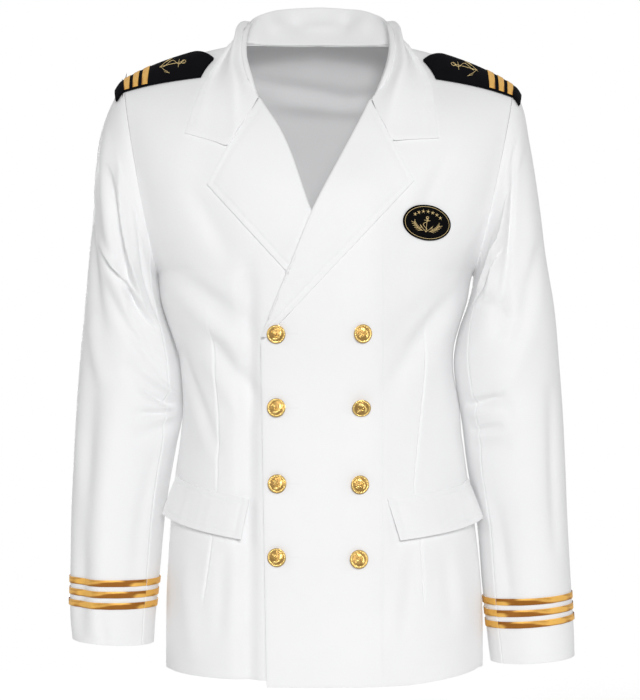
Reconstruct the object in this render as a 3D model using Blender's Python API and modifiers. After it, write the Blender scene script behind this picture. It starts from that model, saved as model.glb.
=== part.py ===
"""Ship captain uniform jacket, filled out as it is worn, with nobody in it.

Double-breasted white jacket: two fronts, back, set-in sleeves, turned-over
collar and lapels, two pocket flaps, eight shank buttons, padded shoulder boards
with braid stripes, an oval chest patch and three ribbons round each cuff.

Metres, +Z up, front towards -Y, +X on the wearer's left. The origin lies
between the shoulders, at the base of the neck, where the wearer holds it up.
"""
import math

import bpy
import numpy as np
from mathutils import Quaternion, Vector

# ---------------------------------------------------------------- main sizes
FRONT, BACK = -1.0, 1.0
LEFT, RIGHT = 1.0, -1.0          # the wearer's own sides
SIDE_NAME = {LEFT: "left", RIGHT: "right"}

HEM_Z = -0.747
ARMPIT_Z = -0.258
CLOTH = 0.0015                   # wall of the body and sleeve cloth
DOUBLED = 0.0016                 # wall of the collar and the lapels
SEAM_END = 0.0011                # share of a panel left off at a seam for half of it
SEAM_FACET = 0.012               # share taken by the narrow facet along a seam
LIE_GAP = 0.0004                 # what lies on the cloth is clear of it by this much

ARMHOLE_TOP_X = 0.240
ARMHOLE_TOP_Z = {LEFT: -0.027, RIGHT: -0.020}
ARMHOLE_LOW_X = {LEFT: 0.191, RIGHT: 0.198}
ARMHOLE_HALF_DEPTH = 0.072

# Level sections below the armpit, measured from the middle. Columns: z, half
# width left, half width right, depth in front, depth behind.
BODY_ROWS = (
    (-0.747, 0.2030, 0.1885, 0.130, 0.117),
    (-0.660, 0.2020, 0.1880, 0.130, 0.119),
    (-0.587, 0.1955, 0.1845, 0.129, 0.118),
    (-0.512, 0.1845, 0.1780, 0.127, 0.113),
    (-0.455, 0.1765, 0.1700, 0.125, 0.106),
    (-0.410, 0.1695, 0.1670, 0.124, 0.102),
    (-0.375, 0.1652, 0.1700, 0.126, 0.103),
    (-0.345, 0.1670, 0.1765, 0.128, 0.106),
    (-0.315, 0.1760, 0.1870, 0.132, 0.112),
    (-0.289, 0.1850, 0.1950, 0.135, 0.117),
    (-0.258, 0.1910, 0.1980, 0.137, 0.122),
)
BODY_FULLNESS = 0.66             # 0.55 gives an ellipse, more is squarer
# Height of the fronts' lower edges over the hem, from the middle to the side seam.
HEM_ACROSS = (0.0, 0.3, 0.55, 0.8, 1.0)
HEM_RISE = {LEFT: (0.0, 0.0, 0.0055, 0.0100, 0.0050),
            RIGHT: (0.0070, 0.0070, 0.0075, 0.0080, 0.0050)}
HEM_RISE_BACK = 0.0050
HEM_RUN = 0.3                    # level by which that rise has faded out

# Sections from the armpit (rise 0) to the shoulder seam (rise 1): the middle
# point, the turn of the cloth where it meets the armhole, and how far the
# section runs straight from the middle and from the armhole. Columns: rise,
# y, z, turn in degrees, run from the middle, run from the armhole.
CHEST_ROWS = {
    FRONT: (
        (0.0, -0.137, -0.258, 90, 0.125, 0.090),
        (0.2, -0.137, -0.205, 75, 0.122, 0.078),
        (0.4, -0.129, -0.140, 62, 0.118, 0.066),
        (0.6, -0.107, -0.080, 50, 0.112, 0.055),
        (0.8, -0.066, -0.026, 30, 0.105, 0.050),
        (1.0, 0.000, 0.0385, 0, 0.100, 0.052),
    ),
    BACK: (
        (0.0, 0.122, -0.258, 90, 0.125, 0.080),
        (0.2, 0.127, -0.200, 75, 0.122, 0.070),
        (0.4, 0.128, -0.135, 62, 0.116, 0.062),
        (0.6, 0.121, -0.075, 48, 0.110, 0.055),
        (0.8, 0.104, -0.014, 30, 0.105, 0.050),
        (0.9, 0.081, 0.027, 15, 0.102, 0.051),
        (1.0, 0.000, 0.0385, 0, 0.100, 0.052),
    ),
}
NECK_ACROSS = 0.334              # share of the shoulder seam line inside the neck
NECK_DIP = 0.055                 # how far the back neck dips below that line

# Roll line above the break, closing edge below it. Columns: z, x towards the
# own side.
BREAK_Z = -0.335
BREAK_RUN = 0.006                # the panel edge gives way to the roll over this height
ROLL_ROWS = {
    LEFT: ((-0.750, -0.0605), (-0.600, -0.0630), (-0.450, -0.0655), (-0.360, -0.0665),
           (-0.335, -0.0655), (-0.310, -0.0565), (-0.260, -0.0362), (-0.1895, -0.0076),
           (-0.120, 0.0280), (-0.055, 0.0605), (0.000, 0.0815), (0.045, 0.0960)),
    RIGHT: ((-0.750, -0.0550), (-0.600, -0.0570), (-0.450, -0.0580), (-0.360, -0.0580),
            (-0.335, -0.0565), (-0.310, -0.0470), (-0.260, -0.0245), (-0.1895, 0.0076),
            (-0.086, 0.0480), (-0.0525, 0.0690), (0.000, 0.0870), (0.045, 0.0940)),
}
ROLL_SETBACK = 0.0050            # the front panel stops this far from the roll
ROLL_TUCK = 0.0039               # the lapel reaches this far in behind the roll
ROLL_RADIUS = {LEFT: (0.0025, 0.0016), RIGHT: (0.0024, 0.0012)}   # top, bottom
LAPEL_END_WIDTH = {LEFT: 0.006, RIGHT: 0.024}
LEAF_LIFT = 0.0016               # of the middle of a lapel or collar edge over the cloth

# Where the left front covers the right one it lies this much further out.
COVER_HIGH, COVER_LOW = 0.0056, 0.0031

# Points of the collar ends and lapels seen from the front: x outwards, z.
NOTCH_POINTS = {
    LEFT: {"gorge": (0.0615, -0.055), "notch": (0.0868, -0.1030),
           "collar": (0.1426, -0.0996), "lapel": (0.1123, -0.1524)},
    RIGHT: {"gorge": (0.0700, -0.0525), "notch": (0.1062, -0.1090),
            "collar": (0.1585, -0.0930), "lapel": (0.1316, -0.1560)},
}

# Collar sections from the middle of the back to the front. Columns: place along
# the neck seam, then x, y and z of the fold, of the middle of the leaf and of
# its outer edge, and how much narrower the left side is.
COLLAR_ROWS = (
    (0.00, 0.0000, 0.0860, 0.0865, 0.0000, 0.1010, 0.0540, 0.0000, 0.1020, 0.0210, 0.000),
    (0.22, 0.0420, 0.0790, 0.0845, 0.0500, 0.0960, 0.0530, 0.0560, 0.0970, 0.0215, 0.000),
    (0.42, 0.0710, 0.0560, 0.0745, 0.0815, 0.0710, 0.0530, 0.0900, 0.0720, 0.0290, 0.000),
    (0.60, 0.0850, 0.0180, 0.0590, 0.0930, 0.0190, 0.0520, 0.1010, 0.0190, 0.0380, 0.001),
    (0.72, 0.0900, -0.0200, 0.0385, 0.1020, -0.0280, 0.0290, 0.1135, -0.0345, 0.0180, 0.000),
    (0.84, 0.0900, -0.0560, 0.0060, 0.1115, -0.0690, -0.0130, 0.1360, -0.0700, -0.0255, 0.002),
    (0.93, 0.0820, -0.0800, -0.0245, 0.1070, -0.0935, -0.0485, 0.1490, -0.0895, -0.0580, 0.010),
)
CORNER_PLACE = 0.6               # place of the shoulder seam along the neck seam
CORNER_REACH = 0.1               # run over which the collar turns out at that corner
COLLAR_FOOT = 0.0021             # the stand starts this far inside the neck seam
COLLAR_FRONT_TUCK = (0.0040, 0.0034, 0.0028)   # last steps of the stand at the gorge
GORGE_CLEAR = (0.0004, 0.0020)   # x and z that keep the gorge seam open
FOLD_RADIUS = 0.0026
FALL_SHARES = np.array((0.17, 0.34, 0.5, 0.67, 0.84, 1.0))   # rows from the fold to the edge

# Sleeve sections from the armhole to the cuff. Columns: outer edge x and z,
# inner edge x and z, y of the middle, half depth from front to back.
SLEEVE_ROWS = {
    RIGHT: (
        (0.2400, -0.020, 0.1980, -0.258, 0.000, 0.072),
        (0.2570, -0.048, 0.1990, -0.268, 0.002, 0.077),
        (0.2705, -0.085, 0.1965, -0.280, 0.005, 0.080),
        (0.2770, -0.126, 0.1942, -0.296, 0.010, 0.080),
        (0.2815, -0.180, 0.1880, -0.317, 0.015, 0.078),
        (0.2865, -0.235, 0.1795, -0.342, 0.018, 0.075),
        (0.2925, -0.300, 0.1720, -0.372, 0.020, 0.072),
        (0.2985, -0.365, 0.1690, -0.403, 0.020, 0.069),
        (0.3025, -0.425, 0.1700, -0.433, 0.017, 0.067),
        (0.3050, -0.480, 0.1790, -0.478, 0.014, 0.064),
        (0.3075, -0.545, 0.1900, -0.545, 0.010, 0.060),
        (0.3080, -0.620, 0.1970, -0.622, 0.003, 0.055),
        (0.3075, -0.675, 0.2020, -0.677, -0.003, 0.051),
        (0.3045, -0.707, 0.2040, -0.712, -0.006, 0.049),
    ),
    LEFT: (
        (0.2400, -0.027, 0.1910, -0.258, 0.000, 0.072),
        (0.2530, -0.052, 0.1915, -0.270, -0.001, 0.077),
        (0.2600, -0.090, 0.1885, -0.284, -0.003, 0.080),
        (0.2665, -0.130, 0.1835, -0.301, -0.006, 0.080),
        (0.2735, -0.180, 0.1755, -0.322, -0.009, 0.078),
        (0.2800, -0.235, 0.1695, -0.345, -0.012, 0.075),
        (0.2905, -0.300, 0.1670, -0.371, -0.014, 0.072),
        (0.2965, -0.365, 0.1710, -0.402, -0.012, 0.069),
        (0.3015, -0.425, 0.1775, -0.441, -0.008, 0.067),
        (0.3055, -0.490, 0.1850, -0.497, -0.002, 0.064),
        (0.3090, -0.560, 0.1970, -0.566, 0.004, 0.060),
        (0.3130, -0.635, 0.2035, -0.641, 0.003, 0.055),
        (0.3160, -0.690, 0.2090, -0.699, -0.001, 0.051),
        (0.3170, -0.728, 0.2130, -0.735, -0.004, 0.050),
    ),
}
SLEEVE_START = (0.20, -0.09, 0.08, -0.05, 0.0, 0.09)   # first run out of the armhole
SLEEVE_LIP = (0.0005, 0.0012)    # seam gap and narrow facet at the armhole
# Pieces of a sleeve: the angles of their seams, and facets between the seams.
SLEEVE_CUTS = (("sleeve_", -120.0, 140.0, 14), ("undersleeve_", 140.0, 240.0, 5))
SLEEVE_SEAM_END = (0.22, 2.0)    # degrees: half the open seam and the narrow facet
SLEEVE_SEAM_SPREAD = (2.6, 0.45) # the seam opens this many times wider over the first share

# Largest folds of the body, as they lie in x and z. Columns: x and z of one end,
# x and z of the other, half width, height (below zero for a trough).
BODY_FOLDS = {
    FRONT: (
        (-0.182, -0.262, -0.085, -0.335, 0.016, -0.0065),
        (-0.135, -0.345, -0.080, -0.430, 0.018, -0.0045),
        (-0.150, -0.120, -0.100, -0.235, 0.022, -0.0035),
        (-0.160, -0.370, -0.125, -0.480, 0.013, 0.0035),
        (0.180, -0.255, 0.090, -0.345, 0.018, -0.0055),
        (0.165, -0.140, 0.125, -0.215, 0.022, -0.0035),
        (0.105, -0.590, 0.092, -0.700, 0.014, 0.0035),
        (0.160, -0.590, 0.172, -0.690, 0.014, 0.0030),
    ),
    BACK: (
        (0.185, -0.250, 0.110, -0.330, 0.020, -0.0060),
        (0.090, -0.020, 0.150, -0.120, 0.024, -0.0035),
        (0.160, -0.380, 0.080, -0.430, 0.018, -0.0050),
        (-0.187, -0.255, -0.105, -0.345, 0.019, -0.0055),
        (-0.085, -0.025, -0.150, -0.110, 0.024, -0.0035),
        (-0.155, -0.395, -0.070, -0.425, 0.016, -0.0045),
    ),
}
# Largest folds of the sleeves. Columns: share of the length and angle (0 outer,
# 90 front) of one end, the same of the other, half width, height.
SLEEVE_FOLDS = {
    RIGHT: (
        (0.18, 62, 0.44, 118, 0.015, -0.0075),
        (0.12, 40, 0.34, 72, 0.014, 0.0055),
        (0.10, 112, 0.36, 100, 0.013, 0.0050),
        (0.60, 165, 0.52, 95, 0.012, -0.0060),
        (0.62, 170, 0.66, 105, 0.012, -0.0045),
        (0.30, 255, 0.50, 200, 0.017, -0.0050),
        (0.60, 300, 0.64, 215, 0.014, -0.0055),
    ),
    LEFT: (
        (0.16, 58, 0.46, 75, 0.018, -0.0070),
        (0.12, 120, 0.26, 100, 0.013, 0.0050),
        (0.42, 60, 0.58, 110, 0.016, 0.0045),
        (0.60, 150, 0.59, 100, 0.011, -0.0050),
        (0.66, 150, 0.655, 105, 0.011, -0.0040),
        (0.32, 266, 0.48, 214, 0.018, -0.0040),
        (0.61, 295, 0.63, 210, 0.014, -0.0055),
    ),
}
SLEEVE_LENGTH = 0.70
SLEEVE_GIRTH_RADIUS = 0.062

# Buttons on the left front. Columns: name, x, z, tilt up and tilt out in
# degrees, how far the shank is sunk into the cloth.
BUTTON_ROWS = (
    ("button_edge_1", -0.0486, -0.3310, 2, 3, 0.0), ("button_row_1", 0.0505, -0.3310, -6, 6, 0.0008),
    ("button_edge_2", -0.0486, -0.4190, -3, 0, 0.0), ("button_row_2", 0.0495, -0.4180, 24, -4, 0.0),
    ("button_edge_3", -0.0480, -0.5080, 1, 5, 0.0), ("button_row_3", 0.0475, -0.5090, 4, 8, 0.0),
    ("button_edge_4", -0.0480, -0.5940, 3, -2, 0.0), ("button_row_4", 0.0465, -0.5965, -5, 6, 0.0),
)
BUTTON_SHANK = 0.0021            # height of the rim over the cloth
BUTTON_STEPS = 14
# Turned button, top to bottom: radius and height over the cloth.
BUTTON_PROFILE = (
    (0.0000, 0.0060), (0.0056, 0.0054), (0.0088, 0.0042), (0.0096, 0.0047),
    (0.0110, 0.0036), (0.0104, 0.0025), (0.0034, 0.0021), (0.0032, 0.0000), (0.0000, 0.0000),
)

# Corners of the pocket flaps: inner top, inner bottom, outer top, outer bottom,
# first as the share of the way round (0 middle, 1 side seam), then as z.
FLAP_ROWS = {
    RIGHT: (0.262, 0.285, 0.830, 0.850, -0.5265, -0.5740, -0.5035, -0.5520),
    LEFT: (0.248, 0.286, 0.900, 0.880, -0.5265, -0.5752, -0.5090, -0.5580),
}
FLAP_WALL = 0.0020
FLAP_TOP_LIFT = 0.0026
FLAP_STAND_OFF = (0.0055, 0.0115)   # of the lower edge, inner end and outer end

# Shoulder boards: along the shoulder (1 is the armhole), degrees off the ridge.
BOARD_START, BOARD_POINT, BOARD_END = (0.560, 0.505), 0.450, 1.50   # start: back, front
BOARD_BACK_EDGE, BOARD_FRONT_EDGE = (5.0, -13.0), (30.0, 33.0)   # inner, outer end
BOARD_WALL = 0.0034
BOARD_LIFT = 0.0044
STRIPE_STARTS = (0.808, 0.874, 0.940)   # along the shoulder
STRIPE_LENGTH = 0.041
STRIPE_WALL = 0.0006

PATCH_CENTRE = (0.1278, -0.2010)
PATCH_HALF = (0.0285, 0.0208)
PATCH_TILT = math.radians(-8.0)
PATCH_WALL = 0.0016

RIBBON_STARTS = (0.0435, 0.0572, 0.0709)   # above the cuff edge
RIBBON_WIDTH = 0.0080
RIBBON_WALL = 0.0006
RIBBON_GAP = 0.0006              # clear of the folds of the sleeve

FINISH = {                       # colour, roughness, metallic
    "cloth": ((0.90, 0.90, 0.91), 0.55, 0.0),
    "board": ((0.006, 0.007, 0.012), 0.75, 0.0),
    "braid": ((0.78, 0.42, 0.05), 0.40, 0.3),
    "gold": ((0.90, 0.58, 0.13), 0.25, 1.0),
    "patch": ((0.010, 0.010, 0.012), 0.80, 0.0),
}


# ------------------------------------------------------------ smooth curves
def smooth(knots, values, at, first_slope=None, last_slope=None):
    """Read a smooth curve through the values at the knots."""
    knots = np.asarray(knots, float)
    values = np.asarray(values, float)
    slopes = np.gradient(values, knots, axis=0)
    if first_slope is not None:
        slopes[0] = first_slope
    if last_slope is not None:
        slopes[-1] = last_slope
    at = np.clip(at, knots[0], knots[-1])
    low = np.clip(np.searchsorted(knots, at, side="right") - 1, 0, len(knots) - 2)
    step = knots[low + 1] - knots[low]
    f = (at - knots[low]) / step
    if values.ndim > 1:
        f = f[..., None]
        step = step[..., None]
    rest = 1.0 - f
    return ((1 + 2 * f) * rest ** 2 * values[low] + f * rest ** 2 * step * slopes[low]
            + f ** 2 * (3 - 2 * f) * values[low + 1] - f ** 2 * rest * step * slopes[low + 1])


def ease(value):
    """Rise smoothly from 0 to 1 while the value does."""
    value = np.clip(value, 0.0, 1.0)
    return value * value * (3.0 - 2.0 * value)


def unit(vectors):
    return vectors / np.maximum(np.linalg.norm(vectors, axis=-1, keepdims=True), 1e-12)


def points(*parts):
    """Stack x, y and z arrays into points."""
    return np.stack(np.broadcast_arrays(*parts), axis=-1).astype(float)


# ------------------------------------------------------------- body surface
def armhole_point(side, face, angle):
    """Point of the armhole; the angle runs from its top (0) to its foot (180)."""
    low_x = np.where(side > 0, ARMHOLE_LOW_X[LEFT], ARMHOLE_LOW_X[RIGHT])
    top_z = np.where(side > 0, ARMHOLE_TOP_Z[LEFT], ARMHOLE_TOP_Z[RIGHT])
    along = 0.5 + 0.5 * np.cos(np.radians(angle))
    x = side * (low_x + (ARMHOLE_TOP_X - low_x) * along)
    y = face * ARMHOLE_HALF_DEPTH * np.sin(np.radians(angle))
    z = ARMPIT_Z + (top_z - ARMPIT_Z) * along
    return points(x, y, z)


def lower_section(face, side, level):
    """Middle, two pulls and side of a level section below the armpit."""
    table = np.array(BODY_ROWS)
    z = HEM_Z + (ARMPIT_Z - HEM_Z) * np.clip(level, 0, 1)
    row = smooth(table[:, 0], table[:, 1:], z)
    width = np.where(side > 0, row[..., 0], row[..., 1])
    depth = row[..., 2] if face == FRONT else row[..., 3]
    pull_x = side * width * BODY_FULLNESS
    pull_y = face * depth * BODY_FULLNESS
    zero = np.zeros_like(z)
    return (points(zero, face * depth, z), points(pull_x, face * depth, z),
            points(side * width, pull_y, z), points(side * width, zero, z))


def upper_section(face, side, level):
    """The same four points between the armpit and the shoulder seam."""
    table = np.array(CHEST_ROWS[face], float)
    rise = np.clip(level - 1.0, 0, 1)
    middle_z = smooth(table[:, 0], table[:, 2], rise, last_slope=0.0)
    row = smooth(table[:, 0], table[:, [1, 3, 4, 5]], rise)
    middle_y, turn, run_in, run_out = (row[..., k] for k in range(4))
    turn = np.radians(turn)
    edge = armhole_point(side, face, 180.0 * (1.0 - rise))
    drop = middle_z - edge[..., 2]
    middle = points(np.zeros_like(rise), middle_y, middle_z)
    pull = points(side * run_in, middle_y, middle_z - 0.08 * drop)
    edge_pull = edge + points(-side * run_out * np.cos(turn), face * run_out * np.sin(turn),
                              0.55 * drop)
    return middle, pull, edge_pull, edge


def body_point(face, level, across):
    """Point of the torso: level 0 hem, 1 armpit, 2 shoulder; across -1 to 1."""
    level, across = np.broadcast_arrays(np.asarray(level, float), np.asarray(across, float))
    side = np.where(across >= 0, LEFT, RIGHT)
    t = np.abs(across)[..., None]
    below = (level <= 1.0)[..., None]
    quad = [np.where(below, low, high) for low, high in
            zip(lower_section(face, side, level), upper_section(face, side, level))]
    s = 1.0 - t
    return s ** 3 * quad[0] + 3 * s * s * t * quad[1] + 3 * s * t * t * quad[2] + t ** 3 * quad[3]


def body_normal(face, level, across):
    """Direction out of the torso."""
    step = 0.004
    level = np.clip(level, step, 2.0 - step)
    across = np.clip(across, -1.0 + step, 1.0 - step)
    up = body_point(face, level + step, across) - body_point(face, level - step, across)
    over = body_point(face, level, across + step) - body_point(face, level, across - step)
    return unit(-face * np.cross(over, up))


def fold_depth(rows, x, z):
    """Height of the folds of a table at points seen from the front."""
    total = np.zeros(np.broadcast(x, z).shape)
    for x1, z1, x2, z2, half_width, depth in rows:
        dx, dz = x2 - x1, z2 - z1
        along = ((x - x1) * dx + (z - z1) * dz) / (dx * dx + dz * dz)
        away = np.hypot(x - x1 - np.clip(along, 0, 1) * dx, z - z1 - np.clip(along, 0, 1) * dz)
        fade = np.sin(np.pi * np.clip(0.12 + 0.76 * along, 0, 1))
        total = total + depth * fade * np.exp(-(away / half_width) ** 2)
    return total


def cover(x, z):
    """How far the left front lies out where it covers the right one."""
    high = COVER_LOW + (COVER_HIGH - COVER_LOW) * ease((z + 0.385) / 0.045)
    return high * (1 - ease((x - 0.058) / 0.045)) * (1 - ease((z + 0.175) / 0.075))


def body_surface(face, side, level, across, lift=0.0):
    """Outside of the body cloth with its folds, moved out by the lift."""
    base = body_point(face, level, across)
    normal = body_normal(face, level, across)
    x, z = base[..., 0], base[..., 2]
    out = np.asarray(lift, float) + fold_depth(BODY_FOLDS[face], x, z)
    if face == FRONT and side == LEFT:
        out = out + cover(x, z)
    return base + normal * out[..., None]


def find_on_front(x, z):
    """Level and across of front points given as seen from the front."""
    level = np.where(z < ARMPIT_Z, (z - HEM_Z) / (ARMPIT_Z - HEM_Z), 1.0 + (z - ARMPIT_Z) / 0.26)
    across = x / 0.25
    step = 1e-4
    for _ in range(14):
        here = body_point(FRONT, level, across)
        by_level = (body_point(FRONT, level + step, across) - here) / step
        by_across = (body_point(FRONT, level, across + step) - here) / step
        miss_x, miss_z = x - here[..., 0], z - here[..., 2]
        det = by_level[..., 0] * by_across[..., 2] - by_level[..., 2] * by_across[..., 0]
        det = np.where(np.abs(det) < 1e-9, 1e-9, det)
        move_level = (miss_x * by_across[..., 2] - miss_z * by_across[..., 0]) / det
        move_across = (by_level[..., 0] * miss_z - by_level[..., 2] * miss_x) / det
        level = np.clip(level + np.clip(move_level, -0.15, 0.15), 0.0, 1.9999)
        across = np.clip(across + np.clip(move_across, -0.15, 0.15), -0.9999, 0.9999)
    return level, across


def on_front(side, x, z, lift=0.0):
    """Point over the front of one side, given as seen from the front."""
    level, across = find_on_front(np.asarray(x, float), np.asarray(z, float))
    return body_surface(FRONT, side, level, across, lift)


def roll_x(side, z):
    """x of the roll line or closing edge, towards the own side."""
    table = np.array(ROLL_ROWS[side])
    return smooth(table[:, 0], table[:, 1], z)


def front_edge_across(side, level, setback):
    """Where the front panel ends towards the middle, by halving."""
    low = np.full(np.shape(level), -0.6)
    high = np.full(np.shape(level), 0.9)
    for _ in range(40):
        middle = 0.5 * (low + high)
        here = body_point(FRONT, level, side * middle)
        wanted = roll_x(side, here[..., 2])
        wanted = wanted + setback * ease((here[..., 2] - BREAK_Z) / BREAK_RUN + 1)
        inside = side * here[..., 0] < wanted
        low = np.where(inside, middle, low)
        high = np.where(inside, high, middle)
    return high


def neck_top_level(across):
    """Level of the back panel's top edge: the shoulder seam, then the neck."""
    inside = np.clip(1.0 - np.abs(across) / NECK_ACROSS, 0, 1)
    return 2.0 - SEAM_END - NECK_DIP * np.sin(0.5 * np.pi * inside) ** 0.8


def above_hem(level, rise):
    """Level of a row once the panel's lower edge rises above the hem."""
    return level + rise / (ARMPIT_Z - HEM_Z) * (1 - ease(level / HEM_RUN))


# ----------------------------------------------------------- sleeve surface
def sleeve_point(side, down, angle):
    """Outside of a sleeve: down 0 armhole, 1 cuff; angle 0 outer, 90 front."""
    table = np.array(SLEEVE_ROWS[side])
    down, angle = np.broadcast_arrays(np.asarray(down, float), np.asarray(angle, float))
    row = smooth(np.linspace(0, 1, len(table)), table, down, first_slope=SLEEVE_START)
    outer_x, outer_z, inner_x, inner_z, middle_y, half_depth = (row[..., k] for k in range(6))
    turn = np.radians(angle)
    along = 0.5 + 0.5 * np.cos(turn)
    x = side * (inner_x + (outer_x - inner_x) * along)
    z = inner_z + (outer_z - inner_z) * along
    return points(x, middle_y - half_depth * np.sin(turn), z)


def sleeve_surface(side, down, angle, lift=0.0):
    """Outside of the sleeve cloth with its folds, moved out by the lift."""
    step = 0.004
    down, angle = np.broadcast_arrays(np.asarray(down, float), np.asarray(angle, float))
    inside_down = np.clip(down, step, 1 - step)
    along = sleeve_point(side, inside_down + step, angle) - sleeve_point(side, inside_down - step, angle)
    around = sleeve_point(side, down, angle + 1.0) - sleeve_point(side, down, angle - 1.0)
    normal = unit(side * np.cross(around, along))
    out = np.asarray(lift, float) + np.zeros_like(down)
    for down1, angle1, down2, angle2, half_width, depth in SLEEVE_FOLDS[side]:
        folds = ((down1 * SLEEVE_LENGTH, math.radians(angle1) * SLEEVE_GIRTH_RADIUS,
                  down2 * SLEEVE_LENGTH, math.radians(angle2) * SLEEVE_GIRTH_RADIUS,
                  half_width, depth),)
        out = out + fold_depth(folds, down * SLEEVE_LENGTH,
                               np.radians(angle % 360) * SLEEVE_GIRTH_RADIUS)
    return sleeve_point(side, down, angle) + normal * out[..., None]


def shoulder_surface(side, along, angle, lift):
    """Shoulder from the neck (0) over the armhole (1) onto the sleeve head."""
    along, angle = np.broadcast_arrays(np.asarray(along, float), np.asarray(angle, float))
    level = 2.0 - np.abs(angle) / 180.0
    inside = np.clip(along, 0, 1)
    front = body_surface(FRONT, side, level, side * inside, lift)
    back = body_surface(BACK, side, level, side * inside, lift)
    body = np.where((angle >= 0)[..., None], front, back)
    down = np.clip(along - 1.0, 0, 1) / (len(SLEEVE_ROWS[side]) - 1)
    sleeve = sleeve_surface(side, down, angle, lift)
    share = ease((along - 0.93) / 0.14)[..., None]
    return body * (1 - share) + sleeve * share


# -------------------------------------------------------------- mesh makers
def material(name):
    """Principled material of one finish."""
    if name in bpy.data.materials:
        return bpy.data.materials[name]
    made = bpy.data.materials.new(name)
    made.use_nodes = True
    colour, roughness, metallic = FINISH[name]
    shader = made.node_tree.nodes["Principled BSDF"]
    shader.inputs["Base Color"].default_value = (*colour, 1.0)
    shader.inputs["Roughness"].default_value = roughness
    shader.inputs["Metallic"].default_value = metallic
    return made


def add_object(name, mesh, finish, collection):
    made = bpy.data.objects.new(name, mesh)
    mesh.materials.append(material(finish))
    mesh.shade_smooth()
    collection.objects.link(made)
    return made


def sheet(name, grid, wall, finish, collection, wrap=False, flip=False, offset=-1.0):
    """Cloth wall on a grid of points; wrap joins the last column to the first."""
    rows, columns = grid.shape[:2]
    faces = []
    for i in range(rows - 1):
        for j in range(columns if wrap else columns - 1):
            k = (j + 1) % columns
            face = (i * columns + j, i * columns + k, (i + 1) * columns + k, (i + 1) * columns + j)
            faces.append(face[::-1] if flip else face)
    mesh = bpy.data.meshes.new(name)
    mesh.from_pydata(grid.reshape(-1, 3).tolist(), [], faces)
    made = add_object(name, mesh, finish, collection)
    thick = made.modifiers.new("wall", "SOLIDIFY")
    thick.thickness = wall
    thick.offset = offset
    return made


# --------------------------------------------------------------- the pieces
def make_back(collection):
    """Back panel from hem to shoulder seams and neck, in one piece."""
    half = np.concatenate([np.linspace(0, NECK_ACROSS, 4, endpoint=False),
                           np.linspace(NECK_ACROSS, 1 - SEAM_FACET, 7), [1 - SEAM_END]])
    across = np.concatenate([-half[:0:-1], half])
    up = np.append(np.linspace(0, 1 - 0.5 * SEAM_FACET, 24), 1.0)[:, None]
    level = above_hem(up * neck_top_level(across)[None, :], HEM_RISE_BACK)
    grid = body_surface(BACK, LEFT, level, across[None, :] + 0 * level)
    sheet("back", grid, CLOTH, "cloth", collection, flip=True)


def make_front(side, collection):
    """Front panel from the closing edge and roll line to the side and armhole."""
    turn_levels = (np.array((BREAK_Z - BREAK_RUN, BREAK_Z)) - HEM_Z) / (ARMPIT_Z - HEM_Z)
    level = np.sort(np.concatenate([np.linspace(0, 2.0 - SEAM_FACET, 26), turn_levels,
                                    [2.0 - SEAM_END]]))
    start = front_edge_across(side, level, ROLL_SETBACK)
    share = np.append(np.linspace(0, 1 - SEAM_FACET, 12), 1.0)
    across = start[:, None] + (1 - SEAM_END - start)[:, None] * share[None, :]
    level = above_hem(level[:, None], np.interp(across, HEM_ACROSS, HEM_RISE[side]))
    grid = body_surface(FRONT, side, level, side * across)
    sheet("front_" + SIDE_NAME[side], grid, CLOTH, "cloth", collection, flip=side == RIGHT)


def sleeve_angles(start, end, facets, down):
    """Angles of one sleeve piece in rows down the sleeve, with a narrow facet at each seam."""
    times, share = SLEEVE_SEAM_SPREAD
    down = np.asarray(down, float)[:, None]
    gap = SLEEVE_SEAM_END[0] * (1 + (times - 1) * (1 - ease(down / share)))
    narrow = SLEEVE_SEAM_END[1]
    middle = np.linspace(start + narrow, end - narrow, facets + 1)[None, :] + 0 * down
    return np.concatenate([start + gap, middle, end - gap], axis=1)


def make_sleeve(side, collection):
    """Top sleeve and under sleeve, which leave the armhole and the cuff open."""
    down = np.concatenate([[0.02, 0.05], np.linspace(0.085, 1, 20)])
    for name, *cut in SLEEVE_CUTS:
        seam = sleeve_point(side, 0.0, sleeve_angles(*cut, [0.0, 0.0]))
        lips = seam + points(side * np.array(SLEEVE_LIP), 0, 0)[:, None]
        grid = np.concatenate([lips, sleeve_surface(side, down[:, None],
                                                    sleeve_angles(*cut, down))])
        sheet(name + SIDE_NAME[side], grid, CLOTH, "cloth", collection, flip=side == RIGHT)


def lapel_leaf(side, shares):
    """Leaf of the lapel seen from the front, in rows down the roll line."""
    down = np.linspace(0, 1, 13)[:, None]
    gorge, notch, tip = (np.array(NOTCH_POINTS[side][key]) for key in ("gorge", "notch", "lapel"))
    roll_z = gorge[1] + (BREAK_Z - gorge[1]) * down
    outer_end = np.array((roll_x(side, BREAK_Z) + LAPEL_END_WIDTH[side], BREAK_Z))
    outer = tip + (outer_end - tip) * down
    roll = np.concatenate([roll_x(side, roll_z), roll_z], axis=1)
    straight = roll[:, None] + (outer - roll)[:, None] * shares[None, :, None]
    notch_share = np.linalg.norm(notch - gorge) / (
        np.linalg.norm(notch - gorge) + np.linalg.norm(tip - notch))
    top = np.stack([np.interp(shares, (0, notch_share, 1), (gorge[k], notch[k], tip[k]))
                    for k in (0, 1)], axis=-1)
    corner = top - straight[0]
    return roll, straight + corner[None] * ((1 - down) ** 3)[..., None], down


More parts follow.
